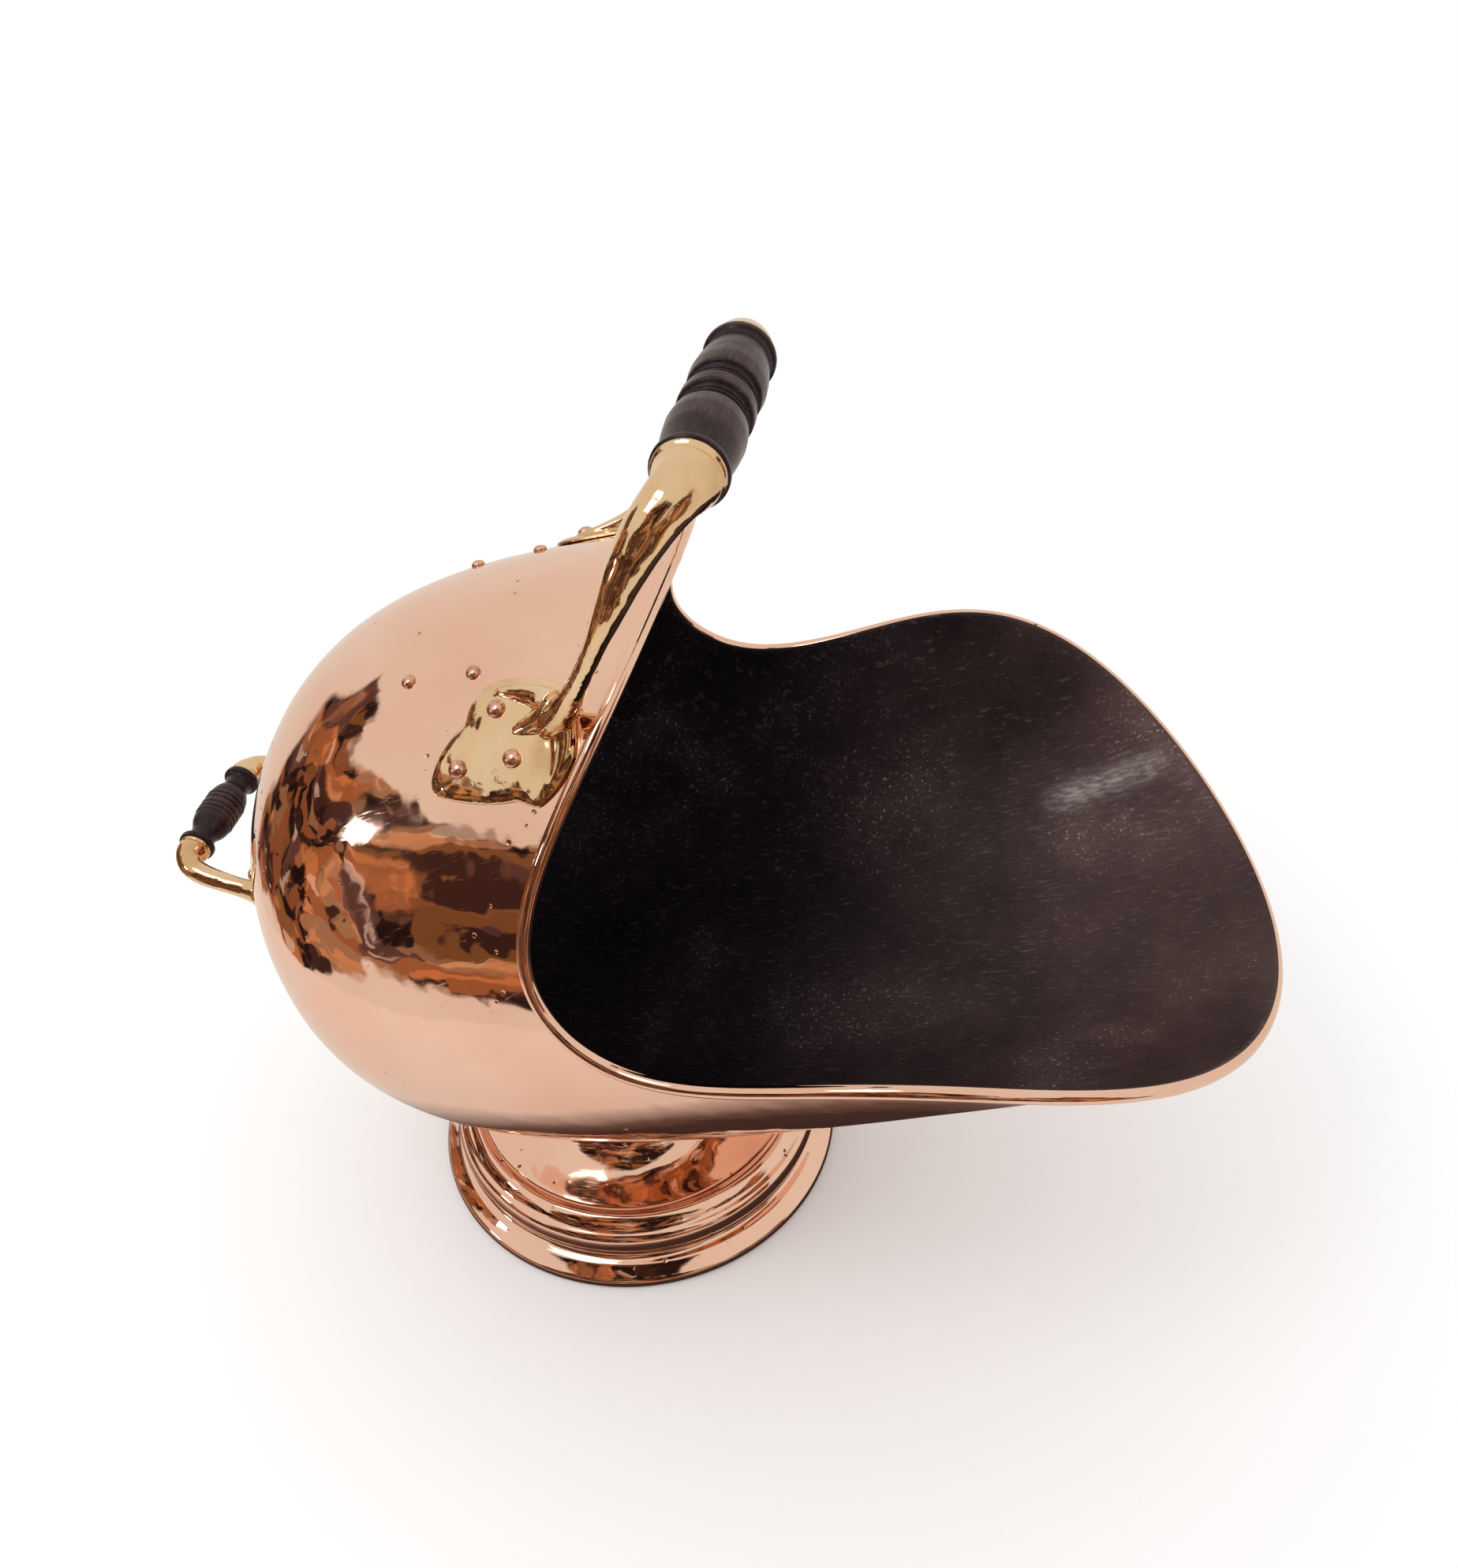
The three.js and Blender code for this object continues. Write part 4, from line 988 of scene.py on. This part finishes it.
def ebonised_group():
    """Black stain on turned wood, worn brown where the turning stands proud of an axis along Y."""
    sockets = {"Place": "Vector", "Axis": "Vector", "Proud": "Float"}
    results = {"Color": "Color", "Roughness": "Float", "Grain": "Float"}
    tree, given, result = node_group("ebonised_turning", sockets, results)
    from_axis = vectors(tree, "SUBTRACT", 0, given["Place"], given["Axis"])
    across = vectors(tree, "MULTIPLY", 0, from_axis, (1, 0, 1))
    stretched = node(tree, "ShaderNodeMapping", {"Vector": from_axis, "Scale": (1.0, 0.10, 1.0)}).outputs[0]
    grain = cloudy(tree, stretched, 900.0, 4.0)
    patch = cloudy(tree, from_axis, 90.0, 3.0)
    worn = node(tree, "ShaderNodeMapRange", {
        "Value": maths(tree, "MULTIPLY_ADD", patch, 0.0030, vectors(tree, "LENGTH", "Value", across)),
        "From Min": maths(tree, "ADD", given["Proud"], 0.0014),
        "From Max": maths(tree, "ADD", given["Proud"], 0.0026),
    }).outputs["Result"]
    stain = ((0.3, (0.013, 0.006, 0.008)), (0.6, (0.027, 0.014, 0.017)), (0.8, (0.046, 0.026, 0.029)))
    brown = ramp(tree, grain, (0.3, (0.036, 0.019, 0.019)), (0.7, (0.085, 0.048, 0.045)))
    tree.links.new(mix(tree, worn, ramp(tree, grain, *stain), brown), result["Color"])
    tree.links.new(ramp(tree, patch, (0.3, 0.32), (0.7, 0.2)), result["Roughness"])
    tree.links.new(grain, result["Grain"])
    return tree


ebonised_turning = ebonised_group()


def ebonised_finish(name, axis, proud):
    material, tree, shader = new_material(name)
    place = node(tree, "ShaderNodeTexCoord").outputs["Object"]
    wood = node(tree, "ShaderNodeGroup", {
        "Place": place, "Axis": axis, "Proud": proud,
    }, node_tree=ebonised_turning).outputs
    tree.links.new(wood["Color"], shader.inputs["Base Color"])
    tree.links.new(wood["Roughness"], shader.inputs["Roughness"])
    shader.inputs["Specular IOR Level"].default_value = 0.2
    bump = node(tree, "ShaderNodeBump", {"Height": wood["Grain"], "Strength": 0.2, "Distance": 0.0002})
    tree.links.new(bump.outputs[0], shader.inputs["Normal"])
    return material


def rounded(outline, times=3):
    """The outline with its corners cut again and again, which rounds them as sanding does."""
    points = [np.array(p, float) for p in outline]
    for _ in range(times):
        cut = [points[0]]
        for p, q in zip(points[:-1], points[1:]):
            reach = min(0.25, 0.6 / max(np.linalg.norm(q - p), 1e-6))
            cut += [p + (q - p) * reach, q + (p - q) * reach]
        points = cut + [points[-1]]
    return [tuple(p) for p in points]


def turned_grip(name, half_outline, bore, centre, body, stands_for):
    """A grip turned about the Y direction from half of its outline, (distance from its middle, radius)."""
    near = rounded([(0, half_outline[0][1]), *half_outline])[1:]
    end = near[-1][0]
    outline = [(bore, -end), *[(r, -y) for y, r in reversed(near)], *[(r, y) for y, r in near], (bore, end)]
    bm = bmesh.new()
    turned(bm, outline, 96, centre, (0, 1, 0))
    proud = max(radius for radius, _ in outline) * MM - 0.0008
    wood = ebonised_finish(f"{name}_wood", tuple(TO_FRAME @ Vector(centre)), proud)
    piece(name, bm, [wood], "ebonised_wood", stands_for, body=body)


end = GRIP_LENGTH / 2 - AIR
collar, groove, bead = GRIP_RADIUS, GRIP_RADIUS - 2.2, GRIP_RADIUS - 1.2
turned_grip("carrying_grip_turned", [
    (3.4, collar), (4.1, groove), (5.8, groove), (6.1, bead), (6.9, bead), (7.2, groove), (8.4, groove),
    (8.7, bead), (9.5, bead), (9.8, groove), (12.4, groove), (12.9, collar - 0.2), (20, collar + 0.4),
    (29, collar - 0.3), (end - 4.6, groove), (end - 3, collar - 1.6), (end - 2.2, collar - 0.2),
    (end, collar - 0.3),
], ROD_BORE, GRIP_AXIS, "carrying_grip", "handle_grip")

# ---------------------------------------------------------------- rear handle
# A smaller drop of the same kind, low on the back, by which the scuttle is tipped: two cast brass arms with
# oval palms, and a turned grip between their ferrules.
REAR_GRIP_LENGTH = 51
REAR_GRIP_RADIUS = 8.7
REAR_FERRULE = 7.6
REAR_ROD_BORE = 2.3
REAR_AXIS = np.array((BACK_X - 35, 0, 200.5))
REAR_PALM_Y, REAR_PALM_Z = 42, 191
HALF_HEIGHT, HALF_WIDTH = 21, 9
REAR_EDGE, REAR_MIDDLE = 1.2, 2.8
REAR_BAR = (0.71, 0.57, 0.55, 0.57, 0.59, 0.62, 0.64, 0.66, 0.68, 0.74, 0.95, 1.0)
rear_point = on_body(np.array([(BACK_X + 60, -REAR_PALM_Y, REAR_PALM_Z)]), np.array([(-1.0, 0, 0)]))[0]
REAR_PALM = Seat(rear_point, (0, 0, 1))


class RearSection:
    """The rear arm's section is oval at its palm and round at its ferrule."""

    up = np.array((0, 0, 1.0))

    def __call__(self, walked, left):
        share = walked / (walked + left) * (len(REAR_BAR) - 1)
        radius = REAR_FERRULE * float(np.interp(share, range(len(REAR_BAR)), REAR_BAR))
        if 1.3 < left < 2.3:
            radius -= 0.6
        root = math.exp(-((walked / 9) ** 2))
        return radius * (1 + 0.15 * root), radius * (1 + 0.5 * root)


turn = np.linspace(0, 2 * math.pi, 96, endpoint=False)
oval = [(HALF_HEIGHT * math.cos(a), HALF_WIDTH * math.sin(a)) for a in turn]
bm = bmesh.new()
leaf(bm, REAR_PALM, oval, [
    (1, AIR), (1, AIR + 0.6), (0.985, AIR + 0.95), (0.95, AIR + REAR_EDGE), (0.85, AIR + 1.7),
    (0.7, AIR + 2.1), (0.5, AIR + 2.5), (0.25, AIR + REAR_MIDDLE),
])
mouth = REAR_AXIS + (0, -REAR_GRIP_LENGTH / 2, 0)
elbow = mouth + (0, -3, 0)
root = REAR_PALM.at(0, 0, 1)
path = np.vstack([
    bezier(root, root + (-30, 2, 6), (elbow[0], -REAR_PALM_Y, elbow[2]), elbow, 110)[:-1],
    bezier(elbow, elbow + (0, 1, 0), elbow + (0, 2, 0), mouth, 10),
])
bar(bm, path, RearSection(), bore=(REAR_ROD_BORE, 7))
rear_arm = cast_in_one(bm, 0.4, 6)
rear_surface = BVHTree.FromBMesh(rear_arm)
pair("rear_arm", rear_arm, cast_brass, "brass")

for number, side in enumerate((1, -1), 1):
    place = (side * (HALF_HEIGHT - 8), 0)
    point = on_body(REAR_PALM.at(*place, -SEAT_REACH)[None], REAR_PALM.out[None], 2 * SEAT_REACH)[0]
    rivet("rear_rivet", f"_{number}", point, SMALL_RIVET_HEAD, SHEET + AIR, rear_surface)

end = REAR_GRIP_LENGTH / 2 - AIR
ridge, groove, neck = REAR_GRIP_RADIUS + 0.9, REAR_GRIP_RADIUS + 0.1, REAR_GRIP_RADIUS - 2.6
turned_grip("tipping_grip_turned", [
    (1.3, ridge), (1.7, groove), (2.1, groove), (2.5, ridge), (4.2, ridge), (4.6, groove), (5.0, groove),
    (5.4, ridge), (6.8, ridge), (7.4, groove), (8, ridge - 0.4), (11.5, ridge - 1.1), (16.5, neck),
    (end - 4.4, neck), (end - 3, neck + 1), (end - 2.2, REAR_GRIP_RADIUS), (end, REAR_GRIP_RADIUS - 0.3),
], REAR_ROD_BORE, REAR_AXIS, "tipping_grip", "rear_grip")
